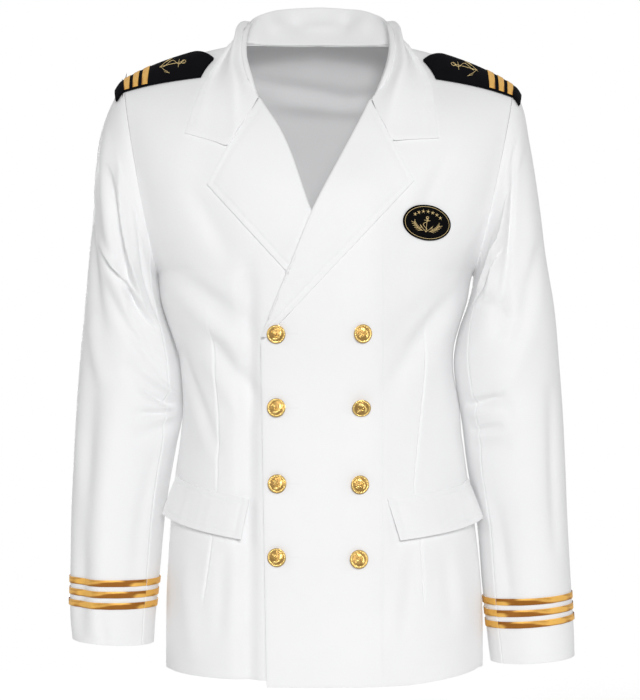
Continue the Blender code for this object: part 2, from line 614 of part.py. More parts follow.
def make_lapel(side, collection):
    """Lapel rolled back over the front it is cut in one with."""
    shares = np.array((0.12, 0.30, 0.48, 0.66, 0.84, 1.0))
    roll, leaf, down = lapel_leaf(side, shares)
    radius = ROLL_RADIUS[side][0] + (ROLL_RADIUS[side][1] - ROLL_RADIUS[side][0]) * down
    here = on_front(side, side * roll[:, 0], roll[:, 1])
    level, across = find_on_front(side * roll[:, 0], roll[:, 1])
    normal = body_normal(FRONT, level, across)
    along = unit(np.gradient(here, axis=0))
    inward = unit(np.cross(along, normal))
    inward = inward * -np.sign(inward[:, :1]) * side
    columns = [here - inward * ROLL_TUCK - normal * 0.5 * CLOTH]
    for turn in np.radians((-90, -30, 30, 90)):
        columns.append(here + inward * radius * (np.cos(turn) - 1)
                       + normal * (radius * (1 + np.sin(turn)) - 0.5 * CLOTH))
    height = 2 * radius - 0.5 * CLOTH
    lift = LEAF_LIFT + (height - LEAF_LIFT) * (1 - shares[None, :]) ** 1.5
    over = on_front(side, side * leaf[..., 0], leaf[..., 1], lift)
    grid = np.concatenate([np.stack(columns, axis=1), over], axis=1)
    sheet("lapel_" + SIDE_NAME[side], grid, DOUBLED, "cloth", collection, offset=0.0)


def neck_seam(side, place):
    """Neck seam from the middle of the back (0) to the gorge (1)."""
    if place <= CORNER_PLACE:
        across = side * NECK_ACROSS * place / CORNER_PLACE
        level = neck_top_level(across)
        here = body_point(BACK, level, across)
        inward = unit(here - body_point(BACK, level - 0.01, across))
        corner = max(0.0, 1.0 - (CORNER_PLACE - place) / CORNER_REACH)
        return here, body_normal(BACK, level, across), inward - corner * points(side, 0, 0)
    gorge_z = NOTCH_POINTS[side]["gorge"][1]
    share = (place - CORNER_PLACE) / (1.0 - CORNER_PLACE)
    high_level = 2.0 - SEAM_END
    low_level, _ = find_on_front(np.array(side * roll_x(side, gorge_z)), np.array(gorge_z))
    level = high_level + (low_level - high_level) * share
    across = front_edge_across(side, np.array(level), ROLL_SETBACK)
    here = body_point(FRONT, level, side * across)
    inward = unit(here - body_point(FRONT, level, side * (across + 0.01)))
    return here, body_normal(FRONT, level, side * across), inward


def collar_section(seam, normal, inward, fold, leaf, edge):
    """One section of the collar: stand, turn over the fold, leaf."""
    radius = FOLD_RADIUS
    up = unit(fold - seam)
    out = unit(edge - fold - up * np.dot(edge - fold, up))
    foot = seam - normal * 0.5 * CLOTH + inward * COLLAR_FOOT
    stand_top = fold - up * radius - out * radius
    stand = [foot + (stand_top - foot) * share for share in (0.0, 0.33, 0.66)]
    centre = fold - up * radius
    turned = [centre - out * radius * math.cos(a) + up * radius * math.sin(a)
              for a in np.radians((0, 45, 90, 135, 180))]
    start = turned[-1]
    fall = [(1 - t) ** 2 * start + 2 * t * (1 - t) * (2 * leaf - 0.5 * (start + edge)) + t * t * edge
            for t in FALL_SHARES]
    return np.array(stand + turned + fall)


def make_collar(collection):
    """Stand and fall in one piece, turned over, with pointed front ends."""
    places = [row[0] for row in COLLAR_ROWS] + [1.0]
    halves = {}
    for side in (LEFT, RIGHT):
        sections = []
        for row in COLLAR_ROWS:
            narrower = row[10] if side == LEFT else 0.0
            spots = [np.array((side * (row[k] - narrower * (k / 7)), row[k + 1], row[k + 2]))
                     for k in (1, 4, 7)]
            sections.append(collar_section(*neck_seam(side, row[0]), *spots))
        sections.append(collar_end(side))
        halves[side] = np.array(sections)
    knots = np.concatenate([-np.array(places)[:0:-1], places])
    loft = np.concatenate([halves[RIGHT][:0:-1], halves[LEFT]])
    fine = np.concatenate([np.linspace(-1, -0.6, 8), np.linspace(-0.52, 0.52, 9),
                           np.linspace(0.6, 1, 8)])
    flat = smooth(knots, loft.reshape(len(knots), -1), fine)
    grid = flat.reshape(len(fine), -1, 3)
    sheet("collar", grid, DOUBLED, "cloth", collection, offset=0.0)


def collar_end(side):
    """Front end of the collar: gorge seam, notch and point, lying on the front."""
    spots = NOTCH_POINTS[side]
    gorge, notch, tip = (np.array(spots[key]) for key in ("gorge", "notch", "collar"))
    here = on_front(side, side * gorge[0], gorge[1] + GORGE_CLEAR[1])
    level, across = find_on_front(np.array(side * gorge[0]), np.array(gorge[1]))
    normal = body_normal(FRONT, level, across)
    inward = unit(np.array((-side * 0.93, 0.0, -0.36)))
    inward = unit(inward - normal * np.dot(inward, normal))
    radius = FOLD_RADIUS
    section = [here - inward * tuck - normal * 0.5 * CLOTH for tuck in COLLAR_FRONT_TUCK]
    for turn in np.radians((-90, -45, 0, 45, 90)):
        section.append(here + inward * radius * (math.cos(turn) - 1)
                       + normal * (radius * (1 + math.sin(turn)) - 0.5 * CLOTH))
    path_x = np.interp(FALL_SHARES, (0, 0.5, 1), (gorge[0], notch[0], tip[0])) + GORGE_CLEAR[0]
    path_z = np.interp(FALL_SHARES, (0, 0.5, 1), (gorge[1], notch[1], tip[1])) + GORGE_CLEAR[1]
    lift = LEAF_LIFT + (2 * radius - 0.5 * CLOTH - LEAF_LIFT) * (1 - FALL_SHARES) ** 1.5
    leaf = on_front(side, side * path_x, path_z, lift)
    return np.concatenate([np.array(section), leaf])


def make_flap(side, collection):
    """Pocket flap: sewn on along the top, standing off along the bottom."""
    (inner_top, inner_low, outer_top, outer_low,
     z_inner_top, z_inner_low, z_outer_top, z_outer_low) = FLAP_ROWS[side]
    down = np.linspace(0, 1, 6)[:, None]
    along = np.linspace(0, 1, 11)[None, :]
    across = ((1 - along) * (inner_top + (inner_low - inner_top) * down)
              + along * (outer_top + (outer_low - outer_top) * down))
    z = ((1 - along) * (z_inner_top + (z_inner_low - z_inner_top) * down)
         + along * (z_outer_top + (z_outer_low - z_outer_top) * down))
    level = (z - HEM_Z) / (ARMPIT_Z - HEM_Z)
    stand_off = FLAP_STAND_OFF[0] + (FLAP_STAND_OFF[1] - FLAP_STAND_OFF[0]) * along ** 3
    lift = FLAP_TOP_LIFT + stand_off * down ** 1.3
    grid = body_surface(FRONT, side, level, side * across, lift)
    sheet("flap_" + SIDE_NAME[side], grid, FLAP_WALL, "cloth", collection, flip=side == LEFT)


def make_button(name, x, z, tilt_up, tilt_out, sunk, collection):
    """Turned metal button on its shank."""
    mesh = bpy.data.meshes.new(name)
    lean = math.sin(math.radians(math.hypot(tilt_up, tilt_out)))   # keeps the rim off the cloth
    raised = max(0.0, BUTTON_PROFILE[4][0] * lean - BUTTON_SHANK)
    foot = BUTTON_PROFILE[-2][0] * lean
    profile = [(radius, 0.0, height + raised if height > 0 else foot)
               for radius, height in BUTTON_PROFILE]
    mesh.from_pydata(profile, [(i, i + 1) for i in range(len(profile) - 1)], [])
    made = add_object(name, mesh, "gold", collection)
    turned = made.modifiers.new("turned", "SCREW")
    turned.axis = "Z"
    turned.steps = turned.render_steps = BUTTON_STEPS
    turned.use_merge_vertices = True
    turned.merge_threshold = 1e-5
    level, across = find_on_front(np.array(x), np.array(z))
    normal = body_normal(FRONT, level, across)
    made.location = on_front(LEFT, x, z, LIE_GAP - sunk)
    made.rotation_mode = "QUATERNION"
    tilt = (Quaternion((1, 0, 0), math.radians(tilt_up))
            @ Quaternion((0, 0, 1), math.radians(tilt_out)))
    made.rotation_quaternion = tilt @ Vector(normal).to_track_quat("Z", "Y")


def board_spot(side, place, across, lift):
    """Point of the shoulder board: place along the shoulder, across from its back."""
    share = (place - BOARD_POINT) / (BOARD_END - BOARD_POINT)
    back = BOARD_BACK_EDGE[0] + (BOARD_BACK_EDGE[1] - BOARD_BACK_EDGE[0]) * share
    front = BOARD_FRONT_EDGE[0] + (BOARD_FRONT_EDGE[1] - BOARD_FRONT_EDGE[0]) * share
    return shoulder_surface(side, place, back + (front - back) * across, lift)


def make_board(side, collection):
    """Padded shoulder board, pointed towards the neck, and its three braid stripes."""
    along = np.linspace(0, 1, 15)[:, None]
    across = np.linspace(0, 1, 7)[None, :]
    blunt = BOARD_START[0] + (BOARD_START[1] - BOARD_START[0]) * across
    start = BOARD_POINT + (blunt - BOARD_POINT) * np.abs(2 * across - 1)
    name = SIDE_NAME[side]
    grid = board_spot(side, start + (BOARD_END - start) * along, across, BOARD_LIFT)
    sheet("board_" + name, grid, BOARD_WALL, "board", collection, flip=side == RIGHT)
    across = np.linspace(0.02, 0.98, 7)[None, :]
    for number, start in enumerate(STRIPE_STARTS):
        place = start + STRIPE_LENGTH * np.array((0.0, 0.5, 1.0))[:, None]
        grid = board_spot(side, place, across, BOARD_LIFT + LIE_GAP + STRIPE_WALL)
        sheet(f"stripe_{name}_{number + 1}", grid, STRIPE_WALL, "braid", collection,
              flip=side == RIGHT)


def make_patch(collection):
    """Oval patch on the left chest, as rings round a middle point."""
    rings, around = 3, 24
    turn = np.arange(around) * 2 * math.pi / around
    spots = [np.zeros((1, 2))]
    for ring in range(1, rings + 1):
        share = ring / rings
        spots.append(share * np.stack([PATCH_HALF[0] * np.cos(turn),
                                       PATCH_HALF[1] * np.sin(turn)], axis=-1))
    flat = np.concatenate(spots)
    cos, sin = math.cos(PATCH_TILT), math.sin(PATCH_TILT)
    x = PATCH_CENTRE[0] + flat[:, 0] * cos - flat[:, 1] * sin
    z = PATCH_CENTRE[1] + flat[:, 0] * sin + flat[:, 1] * cos
    lifted = on_front(LEFT, x, z, LIE_GAP + PATCH_WALL)
    faces = [(0, 1 + j, 1 + (j + 1) % around) for j in range(around)]
    for ring in range(rings - 1):
        base, outer = 1 + ring * around, 1 + (ring + 1) * around
        faces += [(base + j, outer + j, outer + (j + 1) % around, base + (j + 1) % around)
                  for j in range(around)]
    mesh = bpy.data.meshes.new("patch")
    mesh.from_pydata(lifted.tolist(), [], faces)
    made = add_object("patch", mesh, "patch", collection)
    thick = made.modifiers.new("wall", "SOLIDIFY")
    thick.thickness = PATCH_WALL
    thick.offset = -1.0


def down_at_height(side, height):
    """Share down the sleeve at a height above the cuff edge."""
    down = np.linspace(0.6, 1, 81)
    z = sleeve_point(side, down, 90.0)[:, 2]
    return float(np.interp(z[-1] + height, z[::-1], down[::-1]))


def make_ribbons(side, collection):
    """Three ribbons round the cuff, their ends meeting at the front seam of the sleeve."""
    top, under = (sleeve_angles(*cut[1:], [1.0, 1.0]) for cut in SLEEVE_CUTS)
    angle = np.concatenate([under[:, :-1], top[:, 1:] + 360.0], axis=1)
    for number, height in enumerate(RIBBON_STARTS):
        down = np.array([down_at_height(side, height + share * RIBBON_WIDTH)
                         for share in (1.0, 0.0)])
        lift = RIBBON_GAP + RIBBON_WALL
        grid = sleeve_surface(side, down[:, None], angle, lift)
        sheet(f"ribbon_{SIDE_NAME[side]}_{number + 1}", grid, RIBBON_WALL, "braid", collection,
              flip=side == RIGHT)


def main():
    for old in list(bpy.data.objects):
        bpy.data.objects.remove(old, do_unlink=True)
    collection = bpy.data.collections.new("ship_captain_uniform_jacket")
    bpy.context.scene.collection.children.link(collection)
    make_back(collection)
    make_collar(collection)
    for side in (LEFT, RIGHT):
        make_front(side, collection)
        make_lapel(side, collection)
        make_sleeve(side, collection)
        make_flap(side, collection)
        make_board(side, collection)
        make_ribbons(side, collection)
    make_patch(collection)
    for row in BUTTON_ROWS:
        make_button(*row, collection)


main()
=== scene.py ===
"""Looks of the ship captain uniform jacket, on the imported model's frame.

Every cloth piece is a thin shell on the same surfaces as its solid, with its
creases, darts, seams and edges; buttons, braid, embroidery and stitching are
modelled as pieces of their own. Metres, +Z up, front towards -Y.
"""
import math

import bpy
import numpy as np
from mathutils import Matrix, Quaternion, Vector


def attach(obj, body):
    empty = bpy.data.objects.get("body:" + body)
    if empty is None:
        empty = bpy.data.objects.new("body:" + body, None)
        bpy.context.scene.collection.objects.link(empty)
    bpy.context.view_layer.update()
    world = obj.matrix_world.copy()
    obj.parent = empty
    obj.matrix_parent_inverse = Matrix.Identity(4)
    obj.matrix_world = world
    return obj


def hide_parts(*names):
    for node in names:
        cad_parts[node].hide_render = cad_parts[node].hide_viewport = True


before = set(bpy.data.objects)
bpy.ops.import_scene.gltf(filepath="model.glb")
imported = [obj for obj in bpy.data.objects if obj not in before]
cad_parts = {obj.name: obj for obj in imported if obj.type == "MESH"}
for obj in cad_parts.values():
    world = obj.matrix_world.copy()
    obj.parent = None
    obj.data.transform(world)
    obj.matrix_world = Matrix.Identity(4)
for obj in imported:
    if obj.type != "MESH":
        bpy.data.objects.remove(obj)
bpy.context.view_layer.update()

# ---------------------------------------------------------------- main sizes
FRONT, BACK = -1.0, 1.0
LEFT, RIGHT = 1.0, -1.0          # the wearer's own sides
SIDE_NAME = {LEFT: "left", RIGHT: "right"}

HEM_Z = -0.747
ARMPIT_Z = -0.258
CLOTH = 0.0015                   # wall of the body and sleeve cloth
DOUBLED = 0.0016                 # wall of the collar and the lapels
SEAM_END = 0.0011                # share of a panel left off at a seam for half of it
LIE_GAP = 0.0004                 # what lies on the cloth is clear of it by this much

ARMHOLE_TOP_X = 0.240
ARMHOLE_TOP_Z = {LEFT: -0.027, RIGHT: -0.020}
ARMHOLE_LOW_X = {LEFT: 0.191, RIGHT: 0.198}
ARMHOLE_HALF_DEPTH = 0.072

# Level sections below the armpit, measured from the middle. Columns: z, half
# width left, half width right, depth in front, depth behind.
BODY_ROWS = (
    (-0.747, 0.2030, 0.1885, 0.130, 0.117),
    (-0.660, 0.2020, 0.1880, 0.130, 0.119),
    (-0.587, 0.1955, 0.1845, 0.129, 0.118),
    (-0.512, 0.1845, 0.1780, 0.127, 0.113),
    (-0.455, 0.1765, 0.1700, 0.125, 0.106),
    (-0.410, 0.1695, 0.1670, 0.124, 0.102),
    (-0.375, 0.1652, 0.1700, 0.126, 0.103),
    (-0.345, 0.1670, 0.1765, 0.128, 0.106),
    (-0.315, 0.1760, 0.1870, 0.132, 0.112),
    (-0.289, 0.1850, 0.1950, 0.135, 0.117),
    (-0.258, 0.1910, 0.1980, 0.137, 0.122),
)
BODY_FULLNESS = 0.66             # 0.55 gives an ellipse, more is squarer
# Height of the fronts' lower edges over the hem, from the middle to the side seam.
HEM_ACROSS = (0.0, 0.3, 0.55, 0.8, 1.0)
HEM_RISE = {LEFT: (0.0, 0.0, 0.0055, 0.0100, 0.0050),
            RIGHT: (0.0070, 0.0070, 0.0075, 0.0080, 0.0050)}
HEM_RISE_BACK = 0.0050
HEM_RUN = 0.3                    # level by which that rise has faded out

# Sections from the armpit (rise 0) to the shoulder seam (rise 1): the middle
# point, the turn of the cloth where it meets the armhole, and how far the
# section runs straight from the middle and from the armhole. Columns: rise,
# y, z, turn in degrees, run from the middle, run from the armhole.
CHEST_ROWS = {
    FRONT: (
        (0.0, -0.137, -0.258, 90, 0.125, 0.090),
        (0.2, -0.137, -0.205, 75, 0.122, 0.078),
        (0.4, -0.129, -0.140, 62, 0.118, 0.066),
        (0.6, -0.107, -0.080, 50, 0.112, 0.055),
        (0.8, -0.066, -0.026, 30, 0.105, 0.050),
        (1.0, 0.000, 0.0385, 0, 0.100, 0.052),
    ),
    BACK: (
        (0.0, 0.122, -0.258, 90, 0.125, 0.080),
        (0.2, 0.127, -0.200, 75, 0.122, 0.070),
        (0.4, 0.128, -0.135, 62, 0.116, 0.062),
        (0.6, 0.121, -0.075, 48, 0.110, 0.055),
        (0.8, 0.104, -0.014, 30, 0.105, 0.050),
        (0.9, 0.081, 0.027, 15, 0.102, 0.051),
        (1.0, 0.000, 0.0385, 0, 0.100, 0.052),
    ),
}
NECK_ACROSS = 0.334              # share of the shoulder seam line inside the neck
NECK_DIP = 0.055                 # how far the back neck dips below that line

# Roll line above the break, closing edge below it. Columns: z, x towards the
# own side.
BREAK_Z = -0.335
BREAK_RUN = 0.006                # the panel edge gives way to the roll over this height
ROLL_ROWS = {
    LEFT: ((-0.750, -0.0605), (-0.600, -0.0630), (-0.450, -0.0655), (-0.360, -0.0665),
           (-0.335, -0.0655), (-0.310, -0.0565), (-0.260, -0.0362), (-0.1895, -0.0076),
           (-0.120, 0.0280), (-0.055, 0.0605), (0.000, 0.0815), (0.045, 0.0960)),
    RIGHT: ((-0.750, -0.0550), (-0.600, -0.0570), (-0.450, -0.0580), (-0.360, -0.0580),
            (-0.335, -0.0565), (-0.310, -0.0470), (-0.260, -0.0245), (-0.1895, 0.0076),
            (-0.086, 0.0480), (-0.0525, 0.0690), (0.000, 0.0870), (0.045, 0.0940)),
}
ROLL_SETBACK = 0.0050            # the front panel stops this far from the roll
ROLL_TUCK = 0.0039               # the lapel reaches this far in behind the roll
ROLL_RADIUS = {LEFT: (0.0025, 0.0016), RIGHT: (0.0024, 0.0012)}   # top, bottom
LAPEL_END_WIDTH = {LEFT: 0.006, RIGHT: 0.024}
LEAF_LIFT = 0.0016               # of the middle of a lapel or collar edge over the cloth

# Where the left front covers the right one it lies this much further out.
COVER_HIGH, COVER_LOW = 0.0056, 0.0031

# Points of the collar ends and lapels seen from the front: x outwards, z.
NOTCH_POINTS = {
    LEFT: {"gorge": (0.0615, -0.055), "notch": (0.0868, -0.1030),
           "collar": (0.1426, -0.0996), "lapel": (0.1123, -0.1524)},
    RIGHT: {"gorge": (0.0700, -0.0525), "notch": (0.1062, -0.1090),
            "collar": (0.1585, -0.0930), "lapel": (0.1316, -0.1560)},
}

# Collar sections from the middle of the back to the front. Columns: place along
# the neck seam, then x, y and z of the fold, of the middle of the leaf and of
# its outer edge, and how much narrower the left side is.
COLLAR_ROWS = (
    (0.00, 0.0000, 0.0860, 0.0865, 0.0000, 0.1010, 0.0540, 0.0000, 0.1020, 0.0210, 0.000),
    (0.22, 0.0420, 0.0790, 0.0845, 0.0500, 0.0960, 0.0530, 0.0560, 0.0970, 0.0215, 0.000),
    (0.42, 0.0710, 0.0560, 0.0745, 0.0815, 0.0710, 0.0530, 0.0900, 0.0720, 0.0290, 0.000),
    (0.60, 0.0850, 0.0180, 0.0590, 0.0930, 0.0190, 0.0520, 0.1010, 0.0190, 0.0380, 0.001),
    (0.72, 0.0900, -0.0200, 0.0385, 0.1020, -0.0280, 0.0290, 0.1135, -0.0345, 0.0180, 0.000),
    (0.84, 0.0900, -0.0560, 0.0060, 0.1115, -0.0690, -0.0130, 0.1360, -0.0700, -0.0255, 0.002),
    (0.93, 0.0820, -0.0800, -0.0245, 0.1070, -0.0935, -0.0485, 0.1490, -0.0895, -0.0580, 0.010),
)
CORNER_PLACE = 0.6               # place of the shoulder seam along the neck seam
CORNER_REACH = 0.1               # run over which the collar turns out at that corner
COLLAR_FOOT = 0.0021             # the stand starts this far inside the neck seam
COLLAR_FRONT_TUCK = (0.0040, 0.0034, 0.0028)   # last steps of the stand at the gorge
GORGE_CLEAR = (0.0, -0.0010)     # x and z that close the gorge seam
FOLD_RADIUS = 0.0026
FALL_SHARES = np.array((0.17, 0.34, 0.5, 0.67, 0.84, 1.0))   # rows from the fold to the edge

# Sleeve sections from the armhole to the cuff. Columns: outer edge x and z,
# inner edge x and z, y of the middle, half depth from front to back.
SLEEVE_ROWS = {
    RIGHT: (
        (0.2400, -0.020, 0.1980, -0.258, 0.000, 0.072),
        (0.2570, -0.048, 0.1990, -0.268, 0.002, 0.077),
        (0.2705, -0.085, 0.1965, -0.280, 0.005, 0.080),
        (0.2770, -0.126, 0.1942, -0.296, 0.010, 0.080),
        (0.2815, -0.180, 0.1880, -0.317, 0.015, 0.078),
        (0.2865, -0.235, 0.1795, -0.342, 0.018, 0.075),
        (0.2925, -0.300, 0.1720, -0.372, 0.020, 0.072),
        (0.2985, -0.365, 0.1690, -0.403, 0.020, 0.069),
        (0.3025, -0.425, 0.1700, -0.433, 0.017, 0.067),
        (0.3050, -0.480, 0.1790, -0.478, 0.014, 0.064),
        (0.3075, -0.545, 0.1900, -0.545, 0.010, 0.060),
        (0.3080, -0.620, 0.1970, -0.622, 0.003, 0.055),
        (0.3075, -0.675, 0.2020, -0.677, -0.003, 0.051),
        (0.3045, -0.707, 0.2040, -0.712, -0.006, 0.049),
    ),
    LEFT: (
        (0.2400, -0.027, 0.1910, -0.258, 0.000, 0.072),
        (0.2530, -0.052, 0.1915, -0.270, -0.001, 0.077),
        (0.2600, -0.090, 0.1885, -0.284, -0.003, 0.080),
        (0.2665, -0.130, 0.1835, -0.301, -0.006, 0.080),
        (0.2735, -0.180, 0.1755, -0.322, -0.009, 0.078),
        (0.2800, -0.235, 0.1695, -0.345, -0.012, 0.075),
        (0.2905, -0.300, 0.1670, -0.371, -0.014, 0.072),
        (0.2965, -0.365, 0.1710, -0.402, -0.012, 0.069),
        (0.3015, -0.425, 0.1775, -0.441, -0.008, 0.067),
        (0.3055, -0.490, 0.1850, -0.497, -0.002, 0.064),
        (0.3090, -0.560, 0.1970, -0.566, 0.004, 0.060),
        (0.3130, -0.635, 0.2035, -0.641, 0.003, 0.055),
        (0.3160, -0.690, 0.2090, -0.699, -0.001, 0.051),
        (0.3170, -0.728, 0.2130, -0.735, -0.004, 0.050),
    ),
}
SLEEVE_START = (0.20, -0.09, 0.08, -0.05, 0.0, 0.09)   # first run out of the armhole
# Pieces of a sleeve: the angles of their seams, and how finely each is divided.
SLEEVE_CUTS = (("sleeve_", -120.0, 140.0, 14), ("undersleeve_", 140.0, 240.0, 5))

# Largest folds of the body, as they lie in x and z. Columns: x and z of one end,
# x and z of the other, half width, height (below zero for a trough).
BODY_FOLDS = {
    FRONT: (
        (-0.182, -0.262, -0.085, -0.335, 0.016, -0.0065),
        (-0.135, -0.345, -0.080, -0.430, 0.018, -0.0045),
        (-0.150, -0.120, -0.100, -0.235, 0.022, -0.0035),
        (-0.160, -0.370, -0.125, -0.480, 0.013, 0.0035),
        (0.180, -0.255, 0.090, -0.345, 0.018, -0.0055),
        (0.165, -0.140, 0.125, -0.215, 0.022, -0.0035),
        (0.105, -0.590, 0.092, -0.700, 0.014, 0.0035),
        (0.160, -0.590, 0.172, -0.690, 0.014, 0.0030),
    ),
    BACK: (
        (0.185, -0.250, 0.110, -0.330, 0.020, -0.0060),
        (0.090, -0.020, 0.150, -0.120, 0.024, -0.0035),
        (0.160, -0.380, 0.080, -0.430, 0.018, -0.0050),
        (-0.187, -0.255, -0.105, -0.345, 0.019, -0.0055),
        (-0.085, -0.025, -0.150, -0.110, 0.024, -0.0035),
        (-0.155, -0.395, -0.070, -0.425, 0.016, -0.0045),
    ),
}
# Largest folds of the sleeves. Columns: share of the length and angle (0 outer,
# 90 front) of one end, the same of the other, half width, height.
SLEEVE_FOLDS = {
    RIGHT: (
        (0.18, 62, 0.44, 118, 0.015, -0.0075),
        (0.12, 40, 0.34, 72, 0.014, 0.0055),
        (0.10, 112, 0.36, 100, 0.013, 0.0050),
        (0.60, 165, 0.52, 95, 0.012, -0.0060),
        (0.62, 170, 0.66, 105, 0.012, -0.0045),
        (0.30, 255, 0.50, 200, 0.017, -0.0050),
        (0.60, 300, 0.64, 215, 0.014, -0.0055),
    ),
    LEFT: (
        (0.16, 58, 0.46, 75, 0.018, -0.0070),
        (0.12, 120, 0.26, 100, 0.013, 0.0050),
        (0.42, 60, 0.58, 110, 0.016, 0.0045),
        (0.60, 150, 0.59, 100, 0.011, -0.0050),
        (0.66, 150, 0.655, 105, 0.011, -0.0040),
        (0.32, 266, 0.48, 214, 0.018, -0.0040),
        (0.61, 295, 0.63, 210, 0.014, -0.0055),
    ),
}
SLEEVE_LENGTH = 0.70
SLEEVE_GIRTH_RADIUS = 0.062

# Buttons on the left front. Columns: name, x, z, tilt up and tilt out in
# degrees, how far the shank is sunk into the cloth.
BUTTON_ROWS = (
    ("button_edge_1", -0.0486, -0.3310, 2, 3, 0.0), ("button_row_1", 0.0505, -0.3310, -6, 6, 0.0008),
    ("button_edge_2", -0.0486, -0.4190, -3, 0, 0.0), ("button_row_2", 0.0495, -0.4180, 24, -4, 0.0),
    ("button_edge_3", -0.0480, -0.5080, 1, 5, 0.0), ("button_row_3", 0.0475, -0.5090, 4, 8, 0.0),
    ("button_edge_4", -0.0480, -0.5940, 3, -2, 0.0), ("button_row_4", 0.0465, -0.5965, -5, 6, 0.0),
)
BUTTON_SHANK = 0.0021            # height of the rim over the cloth
# Turned button, top to bottom: radius and height over the cloth.
BUTTON_PROFILE = (
    (0.0000, 0.0060), (0.0056, 0.0054), (0.0088, 0.0042), (0.0096, 0.0047),
    (0.0110, 0.0036), (0.0104, 0.0025), (0.0034, 0.0021), (0.0032, 0.0000), (0.0000, 0.0000),
)

# Corners of the pocket flaps: inner top, inner bottom, outer top, outer bottom,
# first as the share of the way round (0 middle, 1 side seam), then as z.
FLAP_ROWS = {
    RIGHT: (0.262, 0.285, 0.830, 0.850, -0.5265, -0.5740, -0.5035, -0.5520),
    LEFT: (0.248, 0.286, 0.900, 0.880, -0.5265, -0.5752, -0.5090, -0.5580),
}
FLAP_WALL = 0.0020
FLAP_TOP_LIFT = 0.0026
FLAP_STAND_OFF = (0.0055, 0.0115)   # of the lower edge, inner end and outer end

# Shoulder boards: along the shoulder (1 is the armhole), degrees off the ridge.
BOARD_START, BOARD_POINT, BOARD_END = (0.560, 0.505), 0.450, 1.50   # start: back, front
BOARD_BACK_EDGE, BOARD_FRONT_EDGE = (5.0, -13.0), (30.0, 33.0)   # inner, outer end
BOARD_WALL = 0.0034
BOARD_LIFT = 0.0044
STRIPE_STARTS = (0.808, 0.874, 0.940)   # along the shoulder
STRIPE_LENGTH = 0.041
STRIPE_WALL = 0.0006

PATCH_CENTRE = (0.1278, -0.2010)
PATCH_HALF = (0.0285, 0.0208)
PATCH_TILT = math.radians(-8.0)
PATCH_WALL = 0.0016

RIBBON_STARTS = (0.0435, 0.0572, 0.0709)   # above the cuff edge
RIBBON_WIDTH = 0.0080
RIBBON_WALL = 0.0006
RIBBON_GAP = 0.0006              # clear of the folds of the sleeve

# ------------------------------------------------------------ sizes of looks
CUTS = {                         # width and length of each piece's cut, its flat area
    "back": ((0.560, 0.800), 0.400),
    "front": ((0.360, 0.800), 0.215),
    "sleeve_": ((0.310, 0.720), 0.185),
    "undersleeve_": ((0.130, 0.500), 0.055),
    "lapel": ((0.110, 0.300), 0.022),
    "collar": ((0.560, 0.110), 0.050),
    "flap": ((0.125, 0.052), 0.0060),
    "board": ((0.145, 0.058), 0.0075),
    "patch": ((0.058, 0.042), 0.0019),
}

# Finer creases on top of the largest folds; the same columns.
BODY_CREASES = {
    FRONT: (
        (-0.176, -0.275, -0.092, -0.352, 0.010, 0.0045),
        (-0.166, -0.258, -0.085, -0.318, 0.009, -0.0032),
        (-0.129, -0.338, -0.074, -0.412, 0.009, -0.0053),
        (-0.137, -0.360, -0.086, -0.436, 0.009, 0.0036),
        (-0.168, -0.352, -0.119, -0.472, 0.007, -0.0061),
        (-0.156, -0.156, -0.106, -0.242, 0.012, -0.0036),
        (-0.160, -0.600, -0.150, -0.715, 0.012, 0.0036),
        (-0.112, -0.590, -0.118, -0.690, 0.008, -0.0028),
        (0.176, -0.268, 0.085, -0.395, 0.014, -0.0085),
        (0.176, -0.262, 0.104, -0.336, 0.010, 0.0036),
        (0.150, -0.110, 0.112, -0.205, 0.011, -0.0036),
        (0.148, -0.110, 0.112, -0.180, 0.010, 0.0028),
        (0.100, -0.200, 0.118, -0.232, 0.010, -0.0024),
        (0.110, -0.590, 0.098, -0.690, 0.010, -0.0036),
        (0.152, -0.592, 0.160, -0.672, 0.009, -0.0036),
        (0.186, -0.330, 0.170, -0.440, 0.012, 0.0041),
    ),
    BACK: (
        (0.180, -0.262, 0.100, -0.345, 0.010, 0.0041),
        (0.158, -0.385, 0.090, -0.440, 0.009, -0.0041),
        (-0.180, -0.268, -0.098, -0.352, 0.010, 0.0041),
        (-0.150, -0.400, -0.075, -0.440, 0.009, -0.0041),
        (0.000, -0.450, 0.004, -0.700, 0.030, 0.0041),
        (-0.120, -0.560, -0.130, -0.720, 0.014, -0.0041),
        (0.118, -0.560, 0.132, -0.720, 0.014, -0.0041),
        (-0.092, -0.004, 0.030, -0.020, 0.009, 0.0053),
        (-0.060, -0.030, 0.075, -0.040, 0.010, -0.0061),
        (0.010, -0.030, 0.090, -0.018, 0.009, 0.0036),
    ),
}
